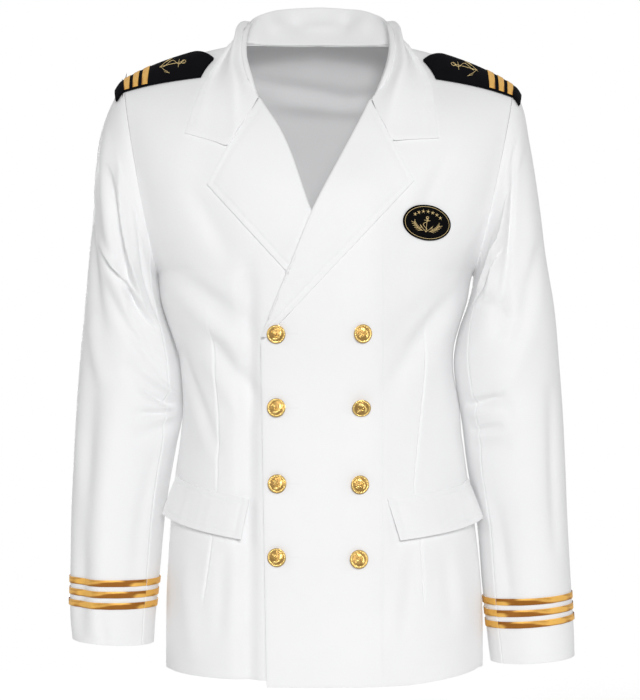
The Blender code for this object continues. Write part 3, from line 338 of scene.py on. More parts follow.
SLEEVE_CREASES = {
    RIGHT: (
        (0.60, 74, 0.97, 76, 0.016, 0.0045),
        (0.50, 48, 0.97, 46, 0.016, -0.0070),
        (0.90, 80, 1.00, 84, 0.008, -0.0034),
        (0.16, 62, 0.42, 100, 0.007, -0.0074),
        (0.10, 75, 0.38, 118, 0.007, 0.0063),
        (0.06, 108, 0.34, 138, 0.006, -0.0038),
        (0.355, 62, 0.385, 128, 0.007, -0.0079),
        (0.335, 50, 0.350, 112, 0.007, 0.0063),
        (0.40, 60, 0.50, 132, 0.010, -0.0051),
        (0.30, 10, 0.47, 58, 0.012, -0.0063),
        (0.47, 40, 0.56, 60, 0.012, 0.0054),
        (0.585, 150, 0.560, 108, 0.0055, -0.0071),
        (0.605, 155, 0.612, 104, 0.0055, -0.0059),
        (0.560, 155, 0.515, 112, 0.0060, 0.0046),
        (0.66, 30, 0.82, 52, 0.014, 0.0038),
        (0.70, 130, 0.86, 120, 0.010, -0.0030),
    ),
    LEFT: (
        (0.12, 88, 0.30, 118, 0.007, 0.0068),
        (0.08, 70, 0.44, 99, 0.013, -0.0110),
        (0.25, 146, 0.235, 102, 0.0055, -0.0120),
        (0.215, 140, 0.205, 100, 0.0055, 0.0064),
        (0.30, 128, 0.44, 84, 0.008, -0.0068),
        (0.36, 40, 0.52, 96, 0.012, -0.0058),
        (0.575, 150, 0.570, 104, 0.0055, -0.0080),
        (0.630, 150, 0.628, 110, 0.0050, -0.0064),
        (0.600, 150, 0.600, 108, 0.0060, 0.0052),
        (0.58, 44, 0.80, 52, 0.010, -0.0048),
        (0.74, 128, 0.88, 118, 0.010, -0.0038),
    ),
}

SEAM_WELT = (0.0006, 0.0026)     # height and reach of the cloth rising beside a seam
EDGE_STITCH = 0.0070             # of the topstitching from the edge of collar, lapel and flap
EDGE_DIP = (0.0006, 0.0014)      # depth and half width of the dent under the stitches
HEM_STITCH = 0.013               # of the hem's blind stitching above the edge
HEM_DIP = (0.0005, 0.0012)       # depth and half width of the dent over it
STITCH = (0.0027, 0.0012, 0.00040)   # length, space and thickness of the thread

# Darts, seen from the front. Columns: x towards the own side, z.
DART_LINES = {
    LEFT: ((0.1280, -0.750), (0.1250, -0.645), (0.1210, -0.573), (0.1128, -0.514),
           (0.1236, -0.414), (0.1354, -0.306), (0.1420, 0.050)),
    RIGHT: ((0.1420, -0.750), (0.1369, -0.647), (0.1264, -0.574), (0.1205, -0.517),
            (0.1193, -0.432), (0.1315, -0.306), (0.1400, 0.050)),
}
DART_STRETCHES = ((-0.300, -0.535, 0.0012), (-0.560, -0.655, 0.0015))   # top, bottom, depth
DART_HALF_WIDTH = 0.0011
DART_SOFT = (0.45, 0.0045, 0.0060)   # share of the depth, place and half width of its ridge

# Edge of the inner facing, pressed through the left front: x and half width.
FACING_X = 0.0749
FACING_STEP = (0.0005, 0.0012)

# Finer columns run beside the seams and over darts and facing: how far round the
# wide columns reach, half widths of the fine bands, and counts.
BACK_INNER, FRONT_INNER = 0.975, 0.965
DART_BAND, FACING_BAND = 0.022, 0.012
BACK_COLUMNS, BACK_ROWS, TOP_ROWS = (8, 120, 9), 150, 6
FRONT_ROWS = 175

EDGE_HOLLOW = (0.0840, 0.0110, 0.0080)   # beside the closing edge: x, half width, depth
LAPEL_COLUMNS = 11               # tuck and turn of the roll before the leaf
FLAP_GRID = (43, 99)             # last row and last column of a flap
PUCKER_WAVES = ((0.0130, 0.3), (0.0205, 1.9), (0.0310, 4.0))   # length and start of each wave

# Soft bumps of the collar. Columns: place along it (-1 to 1), share of its
# width (0 seam, 1 outer edge), half sizes along and across, height.
COLLAR_BUMPS = (
    (-0.16, 0.24, 0.06, 0.09, 0.0036), (0.03, 0.20, 0.11, 0.05, -0.0020),
    (0.19, 0.26, 0.05, 0.10, 0.0038), (-0.31, 0.22, 0.06, 0.12, -0.0036),
    (0.33, 0.24, 0.07, 0.12, -0.0040), (0.00, 0.42, 0.10, 0.05, -0.0014),
    (-0.70, 0.64, 0.16, 0.07, -0.0085), (-0.90, 0.66, 0.09, 0.08, -0.0060),
    (0.70, 0.64, 0.16, 0.07, -0.0085), (0.90, 0.66, 0.09, 0.08, -0.0056),
    (-0.78, 0.86, 0.18, 0.09, 0.0034), (0.78, 0.86, 0.18, 0.09, 0.0034),
    (0.50, 0.68, 0.10, 0.08, -0.0040), (-0.48, 0.68, 0.10, 0.08, -0.0040),
)

# Share of a thread's length and of its thickness at each ring of a thread.
THREAD_RINGS = ((0.0, 0.25), (0.12, 0.8), (0.35, 1.0), (0.65, 1.0), (0.88, 0.8), (1.0, 0.25))
THREAD_SIDES = 4
HOLE_SPACE = 0.00042             # from one thread of a buttonhole to the next
BUTTONHOLE = (0.0150, 0.0024, 0.0170)    # length, width, middle from the button

BOARD_ANCHOR_SIZE = 0.0335
BOARD_ANCHOR_AT = (0.668, 0.50)  # place along the shoulder, share across the board
BOARD_ANCHOR_SPACE = 0.00042
SHOULDER_LENGTH = 0.245
BOARD_WIDTH = 0.052
RIBBON_GRID = (7, 110)           # points over its width and round the cuff
RIBBON_BUCKLE = 0.0007

PATCH_TURNS = 96                 # points round the oval
PATCH_RIM = (0.975, 0.970)       # half sizes of the overcast rim, as shares of the patch
PATCH_RING = (0.925, 0.895)      # the same of the sewn ring
PATCH_RIM_WIDTH, PATCH_RING_WIDTH = 0.0020, 0.0018
PATCH_RIM_SPACE, PATCH_SPACE = 0.00045, 0.00036
PATCH_ANCHOR = (0.0170, -0.0022)   # size and height over the middle
PATCH_SPRIG = (0.0190, -0.0010)
PATCH_STARS = (7, 48.0, 0.0022)    # count, degrees from the top of the last, radius
PATCH_STAR_ARC = (0.0205, 0.0160, -0.0030)   # half width, half height, height of its middle

BUTTON_RINGS, BUTTON_SPOKES = 56, 120
BUTTON_DOME = (0.0022, 0.0090)   # height and radius
BUTTON_GRAIN = (2700.0, 2900.0, 0.00030)   # radians a metre over x and z, height
BUTTON_ROPE_RISE = 0.0011
BUTTON_EMBOSS = 0.00090
BUTTON_ROPE = (0.0095, 0.0008, 30)   # radius, half width, twists of the rope rim
BUTTON_ANCHOR_SIZE = 0.0110
BUTTON_SPRIG = (0.0077, -0.0010)   # size and height over the middle
BUTTON_BACK_SHINE = 0.4

PAINTED_GLOW = {"cloth": 0.06, "inside": 0.07}   # painted glow: white emission that stands in for light passing through the thin white cloth and lifts its shaded parts
FINISH = {                       # light and deep colours
    "cloth": ((0.850, 0.851, 0.856), (0.805, 0.806, 0.813)),
    # inside: the same white cloth, coloured darker as painted shade
    "inside": ((0.640, 0.641, 0.648), (0.590, 0.591, 0.600)),
    "board": ((0.0050, 0.0050, 0.0065), (0.0022, 0.0022, 0.0034)),
    # braid: light and deep streak colours, a painted shine
    "braid": ((0.900, 0.510, 0.110), (0.330, 0.120, 0.010)),
    "gold": ((1.000, 0.740, 0.270), (0.170, 0.055, 0.007)),
    "gold thread": ((1.000, 0.830, 0.450), (0.900, 0.640, 0.250)),
    "white thread": ((0.820, 0.822, 0.835), (0.740, 0.743, 0.758)),
    "patch": ((0.0050, 0.0050, 0.0055), (0.0018, 0.0018, 0.0022)),
}
TWILL_PITCH = 0.0007
TWILL_SLANT = 63.0

CAMERA_AT = (0.0018, -2.335, -0.351)
CAMERA_LENS = 96.7
WHITE = (1.0, 1.0, 1.0)
FILL_LIGHT = 0.27
SHINE_LIGHT = 0.80               # of the surround in polished metal
LAMPS_AIM = (0.0, 0.0, -0.35)
LAMPS = (                        # name, place, size, power
    ("key", (0.5, -5.6, 1.2), 1.5, 196.0),
    ("left side", (-2.8, -1.0, 0.3), 1.4, 9.0),
    ("right side", (2.8, -1.0, 0.3), 1.4, 9.0),
    ("back", (-0.8, 2.9, -0.2), 1.4, 58.0),
)
FLOOR_Z = -1.15
FLOOR_HALF = 3.2



# ------------------------------------------------------------ smooth curves
def smooth(knots, values, at, first_slope=None, last_slope=None):
    """Read a smooth curve through the values at the knots."""
    knots = np.asarray(knots, float)
    values = np.asarray(values, float)
    slopes = np.gradient(values, knots, axis=0)
    if first_slope is not None:
        slopes[0] = first_slope
    if last_slope is not None:
        slopes[-1] = last_slope
    at = np.clip(at, knots[0], knots[-1])
    low = np.clip(np.searchsorted(knots, at, side="right") - 1, 0, len(knots) - 2)
    step = knots[low + 1] - knots[low]
    f = (at - knots[low]) / step
    if values.ndim > 1:
        f = f[..., None]
        step = step[..., None]
    rest = 1.0 - f
    return ((1 + 2 * f) * rest ** 2 * values[low] + f * rest ** 2 * step * slopes[low]
            + f ** 2 * (3 - 2 * f) * values[low + 1] - f ** 2 * rest * step * slopes[low + 1])


def ease(value):
    """Rise smoothly from 0 to 1 while the value does."""
    value = np.clip(value, 0.0, 1.0)
    return value * value * (3.0 - 2.0 * value)


def unit(vectors):
    """The same directions at length 1."""
    return vectors / np.maximum(np.linalg.norm(vectors, axis=-1, keepdims=True), 1e-12)


def points(*parts):
    """Stack x, y and z arrays into points."""
    return np.stack(np.broadcast_arrays(*parts), axis=-1).astype(float)


# ------------------------------------------------------------- body surface
def armhole_point(side, face, angle):
    """Point of the armhole; the angle runs from its top (0) to its foot (180)."""
    low_x = np.where(side > 0, ARMHOLE_LOW_X[LEFT], ARMHOLE_LOW_X[RIGHT])
    top_z = np.where(side > 0, ARMHOLE_TOP_Z[LEFT], ARMHOLE_TOP_Z[RIGHT])
    along = 0.5 + 0.5 * np.cos(np.radians(angle))
    x = side * (low_x + (ARMHOLE_TOP_X - low_x) * along)
    y = face * ARMHOLE_HALF_DEPTH * np.sin(np.radians(angle))
    z = ARMPIT_Z + (top_z - ARMPIT_Z) * along
    return points(x, y, z)


def lower_section(face, side, level):
    """Middle, two pulls and side of a level section below the armpit."""
    table = np.array(BODY_ROWS)
    z = HEM_Z + (ARMPIT_Z - HEM_Z) * np.clip(level, 0, 1)
    row = smooth(table[:, 0], table[:, 1:], z)
    width = np.where(side > 0, row[..., 0], row[..., 1])
    depth = row[..., 2] if face == FRONT else row[..., 3]
    pull_x = side * width * BODY_FULLNESS
    pull_y = face * depth * BODY_FULLNESS
    zero = np.zeros_like(z)
    return (points(zero, face * depth, z), points(pull_x, face * depth, z),
            points(side * width, pull_y, z), points(side * width, zero, z))


def upper_section(face, side, level):
    """The same four points between the armpit and the shoulder seam."""
    table = np.array(CHEST_ROWS[face], float)
    rise = np.clip(level - 1.0, 0, 1)
    middle_z = smooth(table[:, 0], table[:, 2], rise, last_slope=0.0)
    row = smooth(table[:, 0], table[:, [1, 3, 4, 5]], rise)
    middle_y, turn, run_in, run_out = (row[..., k] for k in range(4))
    turn = np.radians(turn)
    edge = armhole_point(side, face, 180.0 * (1.0 - rise))
    drop = middle_z - edge[..., 2]
    middle = points(np.zeros_like(rise), middle_y, middle_z)
    pull = points(side * run_in, middle_y, middle_z - 0.08 * drop)
    edge_pull = edge + points(-side * run_out * np.cos(turn), face * run_out * np.sin(turn),
                              0.55 * drop)
    return middle, pull, edge_pull, edge


def body_point(face, level, across):
    """Point of the torso: level 0 hem, 1 armpit, 2 shoulder; across -1 to 1."""
    level, across = np.broadcast_arrays(np.asarray(level, float), np.asarray(across, float))
    side = np.where(across >= 0, LEFT, RIGHT)
    t = np.abs(across)[..., None]
    below = (level <= 1.0)[..., None]
    quad = [np.where(below, low, high) for low, high in
            zip(lower_section(face, side, level), upper_section(face, side, level))]
    s = 1.0 - t
    return s ** 3 * quad[0] + 3 * s * s * t * quad[1] + 3 * s * t * t * quad[2] + t ** 3 * quad[3]


def body_normal(face, level, across):
    """Direction out of the torso."""
    step = 0.004
    level = np.clip(level, step, 2.0 - step)
    across = np.clip(across, -1.0 + step, 1.0 - step)
    up = body_point(face, level + step, across) - body_point(face, level - step, across)
    over = body_point(face, level, across + step) - body_point(face, level, across - step)
    return unit(-face * np.cross(over, up))


def fold_depth(rows, x, z):
    """Height of the folds of a table at points seen from the front."""
    total = np.zeros(np.broadcast(x, z).shape)
    for x1, z1, x2, z2, half_width, depth in rows:
        dx, dz = x2 - x1, z2 - z1
        along = ((x - x1) * dx + (z - z1) * dz) / (dx * dx + dz * dz)
        away = np.hypot(x - x1 - np.clip(along, 0, 1) * dx, z - z1 - np.clip(along, 0, 1) * dz)
        fade = np.sin(np.pi * np.clip(0.12 + 0.76 * along, 0, 1))
        total = total + depth * fade * np.exp(-(away / half_width) ** 2)
    return total


def cover(x, z):
    """How far the left front lies out where it covers the right one."""
    high = COVER_LOW + (COVER_HIGH - COVER_LOW) * ease((z + 0.385) / 0.045)
    return high * (1 - ease((x - 0.058) / 0.045)) * (1 - ease((z + 0.175) / 0.075))


def body_surface(face, side, level, across, lift=0.0):
    """Outside of the body cloth with its folds, moved out by the lift."""
    base = body_point(face, level, across)
    normal = body_normal(face, level, across)
    x, z = base[..., 0], base[..., 2]
    out = np.asarray(lift, float) + fold_depth(BODY_FOLDS[face] + BODY_CREASES[face], x, z)
    if face == FRONT and side == LEFT:
        out = out + cover(x, z)
    return base + normal * out[..., None]


def find_on_front(x, z):
    """Level and across of front points given as seen from the front."""
    level = np.where(z < ARMPIT_Z, (z - HEM_Z) / (ARMPIT_Z - HEM_Z), 1.0 + (z - ARMPIT_Z) / 0.26)
    across = x / 0.25
    step = 1e-4
    for _ in range(14):
        here = body_point(FRONT, level, across)
        by_level = (body_point(FRONT, level + step, across) - here) / step
        by_across = (body_point(FRONT, level, across + step) - here) / step
        miss_x, miss_z = x - here[..., 0], z - here[..., 2]
        det = by_level[..., 0] * by_across[..., 2] - by_level[..., 2] * by_across[..., 0]
        det = np.where(np.abs(det) < 1e-9, 1e-9, det)
        move_level = (miss_x * by_across[..., 2] - miss_z * by_across[..., 0]) / det
        move_across = (by_level[..., 0] * miss_z - by_level[..., 2] * miss_x) / det
        level = np.clip(level + np.clip(move_level, -0.15, 0.15), 0.0, 1.9999)
        across = np.clip(across + np.clip(move_across, -0.15, 0.15), -0.9999, 0.9999)
    return level, across


def on_front(side, x, z, lift=0.0):
    """Point over the front of one side, given as seen from the front."""
    level, across = find_on_front(np.asarray(x, float), np.asarray(z, float))
    return body_surface(FRONT, side, level, across, lift)


def roll_x(side, z):
    """x of the roll line or closing edge, towards the own side."""
    table = np.array(ROLL_ROWS[side])
    return smooth(table[:, 0], table[:, 1], z)


def front_edge_across(side, level, setback):
    """Where the front panel ends towards the middle, by halving."""
    low = np.full(np.shape(level), -0.6)
    high = np.full(np.shape(level), 0.9)
    for _ in range(40):
        middle = 0.5 * (low + high)
        here = body_point(FRONT, level, side * middle)
        wanted = roll_x(side, here[..., 2])
        wanted = wanted + setback * ease((here[..., 2] - BREAK_Z) / BREAK_RUN + 1)
        inside = side * here[..., 0] < wanted
        low = np.where(inside, middle, low)
        high = np.where(inside, high, middle)
    return high


def neck_top_level(across):
    """Level of the back panel's top edge: the shoulder seam, then the neck."""
    inside = np.clip(1.0 - np.abs(across) / NECK_ACROSS, 0, 1)
    return 2.0 - SEAM_END - NECK_DIP * np.sin(0.5 * np.pi * inside) ** 0.8


def above_hem(level, rise):
    """Level of a row once the panel's lower edge rises above the hem."""
    return level + rise / (ARMPIT_Z - HEM_Z) * (1 - ease(level / HEM_RUN))


# ----------------------------------------------------------- sleeve surface
def sleeve_point(side, down, angle):
    """Outside of a sleeve: down 0 armhole, 1 cuff; angle 0 outer, 90 front."""
    table = np.array(SLEEVE_ROWS[side])
    down, angle = np.broadcast_arrays(np.asarray(down, float), np.asarray(angle, float))
    row = smooth(np.linspace(0, 1, len(table)), table, down, first_slope=SLEEVE_START)
    outer_x, outer_z, inner_x, inner_z, middle_y, half_depth = (row[..., k] for k in range(6))
    turn = np.radians(angle)
    along = 0.5 + 0.5 * np.cos(turn)
    x = side * (inner_x + (outer_x - inner_x) * along)
    z = inner_z + (outer_z - inner_z) * along
    return points(x, middle_y - half_depth * np.sin(turn), z)


def sleeve_surface(side, down, angle, lift=0.0):
    """Outside of the sleeve cloth with its folds, moved out by the lift."""
    step = 0.004
    down, angle = np.broadcast_arrays(np.asarray(down, float), np.asarray(angle, float))
    inside_down = np.clip(down, step, 1 - step)
    along = (sleeve_point(side, inside_down + step, angle)
             - sleeve_point(side, inside_down - step, angle))
    around = sleeve_point(side, down, angle + 1.0) - sleeve_point(side, down, angle - 1.0)
    normal = unit(side * np.cross(around, along))
    out = np.asarray(lift, float) + np.zeros_like(down)
    around_cloth = np.radians(angle % 360) * SLEEVE_GIRTH_RADIUS
    for down1, angle1, down2, angle2, half_width, depth in SLEEVE_FOLDS[side] + SLEEVE_CREASES[side]:
        fold = (down1 * SLEEVE_LENGTH, math.radians(angle1) * SLEEVE_GIRTH_RADIUS,
                down2 * SLEEVE_LENGTH, math.radians(angle2) * SLEEVE_GIRTH_RADIUS,
                half_width, depth)
        out = out + fold_depth((fold,), down * SLEEVE_LENGTH, around_cloth)
    return sleeve_point(side, down, angle) + normal * out[..., None]


def shoulder_surface(side, along, angle, lift):
    """Shoulder from the neck (0) over the armhole (1) onto the sleeve head."""
    along, angle = np.broadcast_arrays(np.asarray(along, float), np.asarray(angle, float))
    level = 2.0 - np.abs(angle) / 180.0
    inside = np.clip(along, 0, 1)
    front = body_surface(FRONT, side, level, side * inside, lift)
    back = body_surface(BACK, side, level, side * inside, lift)
    body = np.where((angle >= 0)[..., None], front, back)
    down = np.clip(along - 1.0, 0, 1) / (len(SLEEVE_ROWS[side]) - 1)
    sleeve = sleeve_surface(side, down, angle, lift)
    share = ease((along - 0.93) / 0.14)[..., None]
    return body * (1 - share) + sleeve * share


# ---------------------------------------------- outlines of the small parts
def lapel_leaf(side, shares, rows):
    """Leaf of the lapel seen from the front, in rows down the roll line."""
    down = np.linspace(0, 1, rows)[:, None]
    gorge, notch, tip = (np.array(NOTCH_POINTS[side][key]) for key in ("gorge", "notch", "lapel"))
    roll_z = gorge[1] + (BREAK_Z - gorge[1]) * down
    outer_end = np.array((roll_x(side, BREAK_Z) + LAPEL_END_WIDTH[side], BREAK_Z))
    outer = tip + (outer_end - tip) * down
    roll = np.concatenate([roll_x(side, roll_z), roll_z], axis=1)
    straight = roll[:, None] + (outer - roll)[:, None] * shares[None, :, None]
    notch_share = np.linalg.norm(notch - gorge) / (
        np.linalg.norm(notch - gorge) + np.linalg.norm(tip - notch))
    top = np.stack([np.interp(shares, (0, notch_share, 1), (gorge[k], notch[k], tip[k]))
                    for k in (0, 1)], axis=-1)
    corner = top - straight[0]
    return roll, straight + corner[None] * ((1 - down) ** 3)[..., None], down


def neck_seam(side, place):
    """Neck seam from the middle of the back (0) to the gorge (1)."""
    if place <= CORNER_PLACE:
        across = side * NECK_ACROSS * place / CORNER_PLACE
        level = neck_top_level(across)
        here = body_point(BACK, level, across)
        inward = unit(here - body_point(BACK, level - 0.01, across))
        corner = max(0.0, 1.0 - (CORNER_PLACE - place) / CORNER_REACH)
        return here, body_normal(BACK, level, across), inward - corner * points(side, 0, 0)
    gorge_z = NOTCH_POINTS[side]["gorge"][1]
    share = (place - CORNER_PLACE) / (1.0 - CORNER_PLACE)
    high_level = 2.0 - SEAM_END
    low_level, _ = find_on_front(np.array(side * roll_x(side, gorge_z)), np.array(gorge_z))
    level = high_level + (low_level - high_level) * share
    across = front_edge_across(side, np.array(level), ROLL_SETBACK)
    here = body_point(FRONT, level, side * across)
    inward = unit(here - body_point(FRONT, level, side * (across + 0.01)))
    return here, body_normal(FRONT, level, side * across), inward


def collar_section(seam, normal, inward, fold, leaf, edge):
    """One section of the collar: stand, turn over the fold, leaf."""
    radius = FOLD_RADIUS
    up = unit(fold - seam)
    out = unit(edge - fold - up * np.dot(edge - fold, up))
    foot = seam - normal * 0.5 * CLOTH + inward * COLLAR_FOOT
    stand_top = fold - up * radius - out * radius
    stand = [foot + (stand_top - foot) * share for share in (0.0, 0.33, 0.66)]
    centre = fold - up * radius
    turned = [centre - out * radius * math.cos(a) + up * radius * math.sin(a)
              for a in np.radians((0, 45, 90, 135, 180))]
    start = turned[-1]
    fall = [(1 - t) ** 2 * start + 2 * t * (1 - t) * (2 * leaf - 0.5 * (start + edge)) + t * t * edge
            for t in FALL_SHARES]
    return np.array(stand + turned + fall)


def collar_end(side):
    """Front end of the collar: gorge seam, notch and point, lying on the front."""
    spots = NOTCH_POINTS[side]
    gorge, notch, tip = (np.array(spots[key]) for key in ("gorge", "notch", "collar"))
    here = on_front(side, side * gorge[0], gorge[1] + GORGE_CLEAR[1])
    level, across = find_on_front(np.array(side * gorge[0]), np.array(gorge[1]))
    normal = body_normal(FRONT, level, across)
    inward = unit(np.array((-side * 0.93, 0.0, -0.36)))
    inward = unit(inward - normal * np.dot(inward, normal))
    radius = FOLD_RADIUS
    section = [here - inward * tuck - normal * 0.5 * CLOTH for tuck in COLLAR_FRONT_TUCK]
    for turn in np.radians((-90, -45, 0, 45, 90)):
        section.append(here + inward * radius * (math.cos(turn) - 1)
                       + normal * (radius * (1 + math.sin(turn)) - 0.5 * CLOTH))
    path_x = np.interp(FALL_SHARES, (0, 0.5, 1), (gorge[0], notch[0], tip[0])) + GORGE_CLEAR[0]
    path_z = np.interp(FALL_SHARES, (0, 0.5, 1), (gorge[1], notch[1], tip[1])) + GORGE_CLEAR[1]
    lift = LEAF_LIFT + (2 * radius - 0.5 * CLOTH - LEAF_LIFT) * (1 - FALL_SHARES) ** 1.5
    leaf = on_front(side, side * path_x, path_z, lift)
    return np.concatenate([np.array(section), leaf])


def board_spot(side, place, across, lift):
    """Point of the shoulder board: place along the shoulder, across from its back."""
    share = (place - BOARD_POINT) / (BOARD_END - BOARD_POINT)
    back = BOARD_BACK_EDGE[0] + (BOARD_BACK_EDGE[1] - BOARD_BACK_EDGE[0]) * share
    front = BOARD_FRONT_EDGE[0] + (BOARD_FRONT_EDGE[1] - BOARD_FRONT_EDGE[0]) * share
    return shoulder_surface(side, place, back + (front - back) * across, lift)


def down_at_height(side, height):
    """Share down the sleeve at a height above the cuff edge."""
    down = np.linspace(0.6, 1, 81)
    z = sleeve_point(side, down, 90.0)[:, 2]
    return float(np.interp(z[-1] + height, z[::-1], down[::-1]))


# ------------------------------------------------------------- mesh helpers
def add_piece(name, mesh, finishes):
    """Object of the jacket with its finishes, riding on the root body."""
    made = bpy.data.objects.new(name, mesh)
    for finish in finishes:
        mesh.materials.append(finish)
    mesh.shade_smooth()
    bpy.context.scene.collection.objects.link(made)
    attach(made, "root")
    return made


def mesh_of(name, spots, faces):
    """Mesh of points and of faces given as lists of point numbers."""
    mesh = bpy.data.meshes.new(name)
    mesh.from_pydata(np.asarray(spots).reshape(-1, 3).tolist(), [], faces)
    return mesh


def grid_faces(rows, columns, flip=False, wrap=False):
    """Quads of a grid of points, numbered row by row."""
    i, j = np.meshgrid(np.arange(rows - 1), np.arange(columns if wrap else columns - 1),
                       indexing="ij")
    k = (j + 1) % columns
    quads = np.stack([i * columns + j, i * columns + k, (i + 1) * columns + k,
                      (i + 1) * columns + j], axis=-1).reshape(-1, 4)
    return quads[:, ::-1] if flip else quads


def lengths(grid, axis):
    """Length along the rows or columns of a grid, averaged over the other way."""
    step = np.linalg.norm(np.diff(grid, axis=axis), axis=-1).mean(axis=1 - axis)
    return np.concatenate([[0.0], np.cumsum(step)])


def resample(grid, rows, columns):
    """Smooth finer grid through a coarse one."""
    for count in (rows, columns):
        knots = np.arange(len(grid))
        fine = smooth(knots, grid.reshape(len(grid), -1), np.linspace(0, knots[-1], count))
        grid = fine.reshape(count, -1, 3).transpose(1, 0, 2)
    return grid


def shell(name, grid, wall, finishes, flip=False, offset=-1.0, soften=0.0004):
    """Closed thin shell on a grid of points, with UVs in metres and softened edges."""
    rows, columns = grid.shape[:2]
    quads = grid_faces(rows, columns, flip)
    mesh = mesh_of(name, grid, quads.tolist())
    along, across = lengths(grid, 0), lengths(grid, 1)
    uv = np.stack([across[quads % columns], along[quads // columns]], axis=-1)
    mesh.uv_layers.new(name="cut").data.foreach_set("uv", uv.reshape(-1))
    made = add_piece(name, mesh, finishes)
    thick = made.modifiers.new("wall", "SOLIDIFY")
    thick.thickness = wall
    thick.offset = offset
    thick.material_offset = len(finishes) - 1
    edge = made.modifiers.new("edge", "BEVEL")
    edge.width = soften
    edge.segments = 2
    edge.limit_method = "ANGLE"
    edge.angle_limit = math.radians(50)
    edge.use_clamp_overlap = False
    return made


def spread(knots, counts):
    """Columns spread between knot columns, so many in each gap; knots run across the last axis."""
    parts = []
    for k, count in enumerate(counts):
        share = np.linspace(0, 1, count, endpoint=k == len(counts) - 1)
        parts.append(knots[..., k, None] + (knots[..., k + 1] - knots[..., k])[..., None] * share)
    return np.concatenate(parts, axis=-1)


def threads(name, starts, ends, ups, radius, finish, arch=1.0):
    """Many short threads in one mesh, each a thin arched bead from start to end."""
    starts, ends, ups = (np.asarray(part, float) for part in (starts, ends, ups))
    along = unit(ends - starts)
    over = unit(np.cross(along, ups))
    sides = THREAD_SIDES
    turn = np.arange(sides) * 2 * math.pi / sides
    rings = []
    for share, full in THREAD_RINGS:
        centre = starts + (ends - starts) * share + ups * (radius * arch * math.sin(math.pi * share))
        ring = (centre[:, None] + radius * full * (over[:, None] * np.cos(turn)[:, None]
                                                   + ups[:, None] * np.sin(turn)[:, None]))
        rings.append(ring)
    spots = np.stack(rings, axis=1)
    count, ring_count = len(starts), len(THREAD_RINGS)
    quads = grid_faces(ring_count, sides, wrap=True)
    caps = [list(range(sides))[::-1], list(range((ring_count - 1) * sides, ring_count * sides))]
    base = np.arange(count) * ring_count * sides
    faces = (quads[None] + base[:, None, None]).reshape(-1, 4).tolist()
    faces += [[int(b + k) for k in cap] for b in base for cap in caps]
    return add_piece(name, mesh_of(name, spots, faces), [finish])


def along_path(path, ups, stitch):
    """Starts, ends and up directions of stitches along a path of points."""
    length, space, _ = stitch
    step = np.linalg.norm(np.diff(path, axis=0), axis=1)
    run = np.concatenate([[0.0], np.cumsum(step)])
    first = np.arange(0.4 * space, run[-1] - length, length + space)

    def at(where, values):
        return np.stack([np.interp(where, run, values[:, k]) for k in range(3)], axis=-1)

    return at(first, path), at(first + length, path), unit(at(first + 0.5 * length, ups))


def grid_up(grid, flip):
    """Direction out of a cloth grid."""
    up = np.cross(np.gradient(grid, axis=0), np.gradient(grid, axis=1))
    return unit(up if flip else -up)


def inset_line(grid, corners, flip):
    """Path over a grid between corners given as (row, column), and the direction out of it."""
    up = grid_up(grid, flip)
    spots, ups = [], []
    for (r0, c0), (r1, c1) in zip(corners[:-1], corners[1:]):
        count = int(2 * max(abs(r1 - r0), abs(c1 - c0))) + 2
        for share in np.linspace(0, 1, count):
            row, column = r0 + (r1 - r0) * share, c0 + (c1 - c0) * share
            spots.append(grid_at(grid, row, column))
            ups.append(grid_at(up, row, column))
    return np.array(spots), unit(np.array(ups))


def grid_at(grid, row, column):
    """Point of a grid between its rows and columns."""
    i, j = min(int(row), len(grid) - 2), min(int(column), grid.shape[1] - 2)
    f, g = row - i, column - j
    return ((1 - f) * ((1 - g) * grid[i, j] + g * grid[i, j + 1])
            + f * ((1 - g) * grid[i + 1, j] + g * grid[i + 1, j + 1]))


def nearest(values, wanted):
    """Index, between whole ones too, at which rising values reach the wanted one."""
    return float(np.interp(wanted, values, np.arange(len(values))))


# ---------------------------------------------------------------- materials
def new_material(name, roughness, metallic=0.0, sheen=0.0, specular=0.5):
    """Principled material with the values that are the same all over."""
    made = bpy.data.materials.new(name)
    made.use_nodes = True
    shader = made.node_tree.nodes["Principled BSDF"]
    shader.inputs["Roughness"].default_value = roughness
    shader.inputs["Metallic"].default_value = metallic
    shader.inputs["Sheen Weight"].default_value = sheen
    shader.inputs["Specular IOR Level"].default_value = specular
    return made, made.node_tree, shader


def node(tree, kind, inputs=(), **settings):
    """Add a node; inputs are pairs of a name or number and a value or socket."""
    made = tree.nodes.new(kind)
    for key, value in settings.items():
        setattr(made, key, value)
    for key, value in inputs:
        if isinstance(value, bpy.types.NodeSocket):
            tree.links.new(value, made.inputs[key])
        else:
            made.inputs[key].default_value = value
    return made


def noise(tree, where, scale, detail=2.0, roughness=0.5):
    """Smooth noise from 0 to 1."""
    made = node(tree, "ShaderNodeTexNoise", (("Vector", where), ("Scale", scale),
                                             ("Detail", detail), ("Roughness", roughness)))
    return made.outputs["Fac"]


def blend_colours(tree, share, first, second):
    """First colour at share 0, second at 1."""
    made = node(tree, "ShaderNodeMix", ((0, share),), data_type="RGBA")
    made.inputs[6].default_value = (*first, 1.0)
    made.inputs[7].default_value = (*second, 1.0)
    return made.outputs[2]


def bumps(tree, shader, *heights):
    """Chain of bumps, each a height socket, its distance in metres and its strength."""
    normal = None
    for height, distance, strength in heights:
        wanted = [("Height", height), ("Distance", distance), ("Strength", strength)]
        if normal is not None:
            wanted.append(("Normal", normal))
        normal = node(tree, "ShaderNodeBump", wanted).outputs["Normal"]
    tree.links.new(normal, shader.inputs["Normal"])


def place_in(tree):
    """Coordinates of the object itself, in metres."""
    return node(tree, "ShaderNodeTexCoord").outputs["Object"]


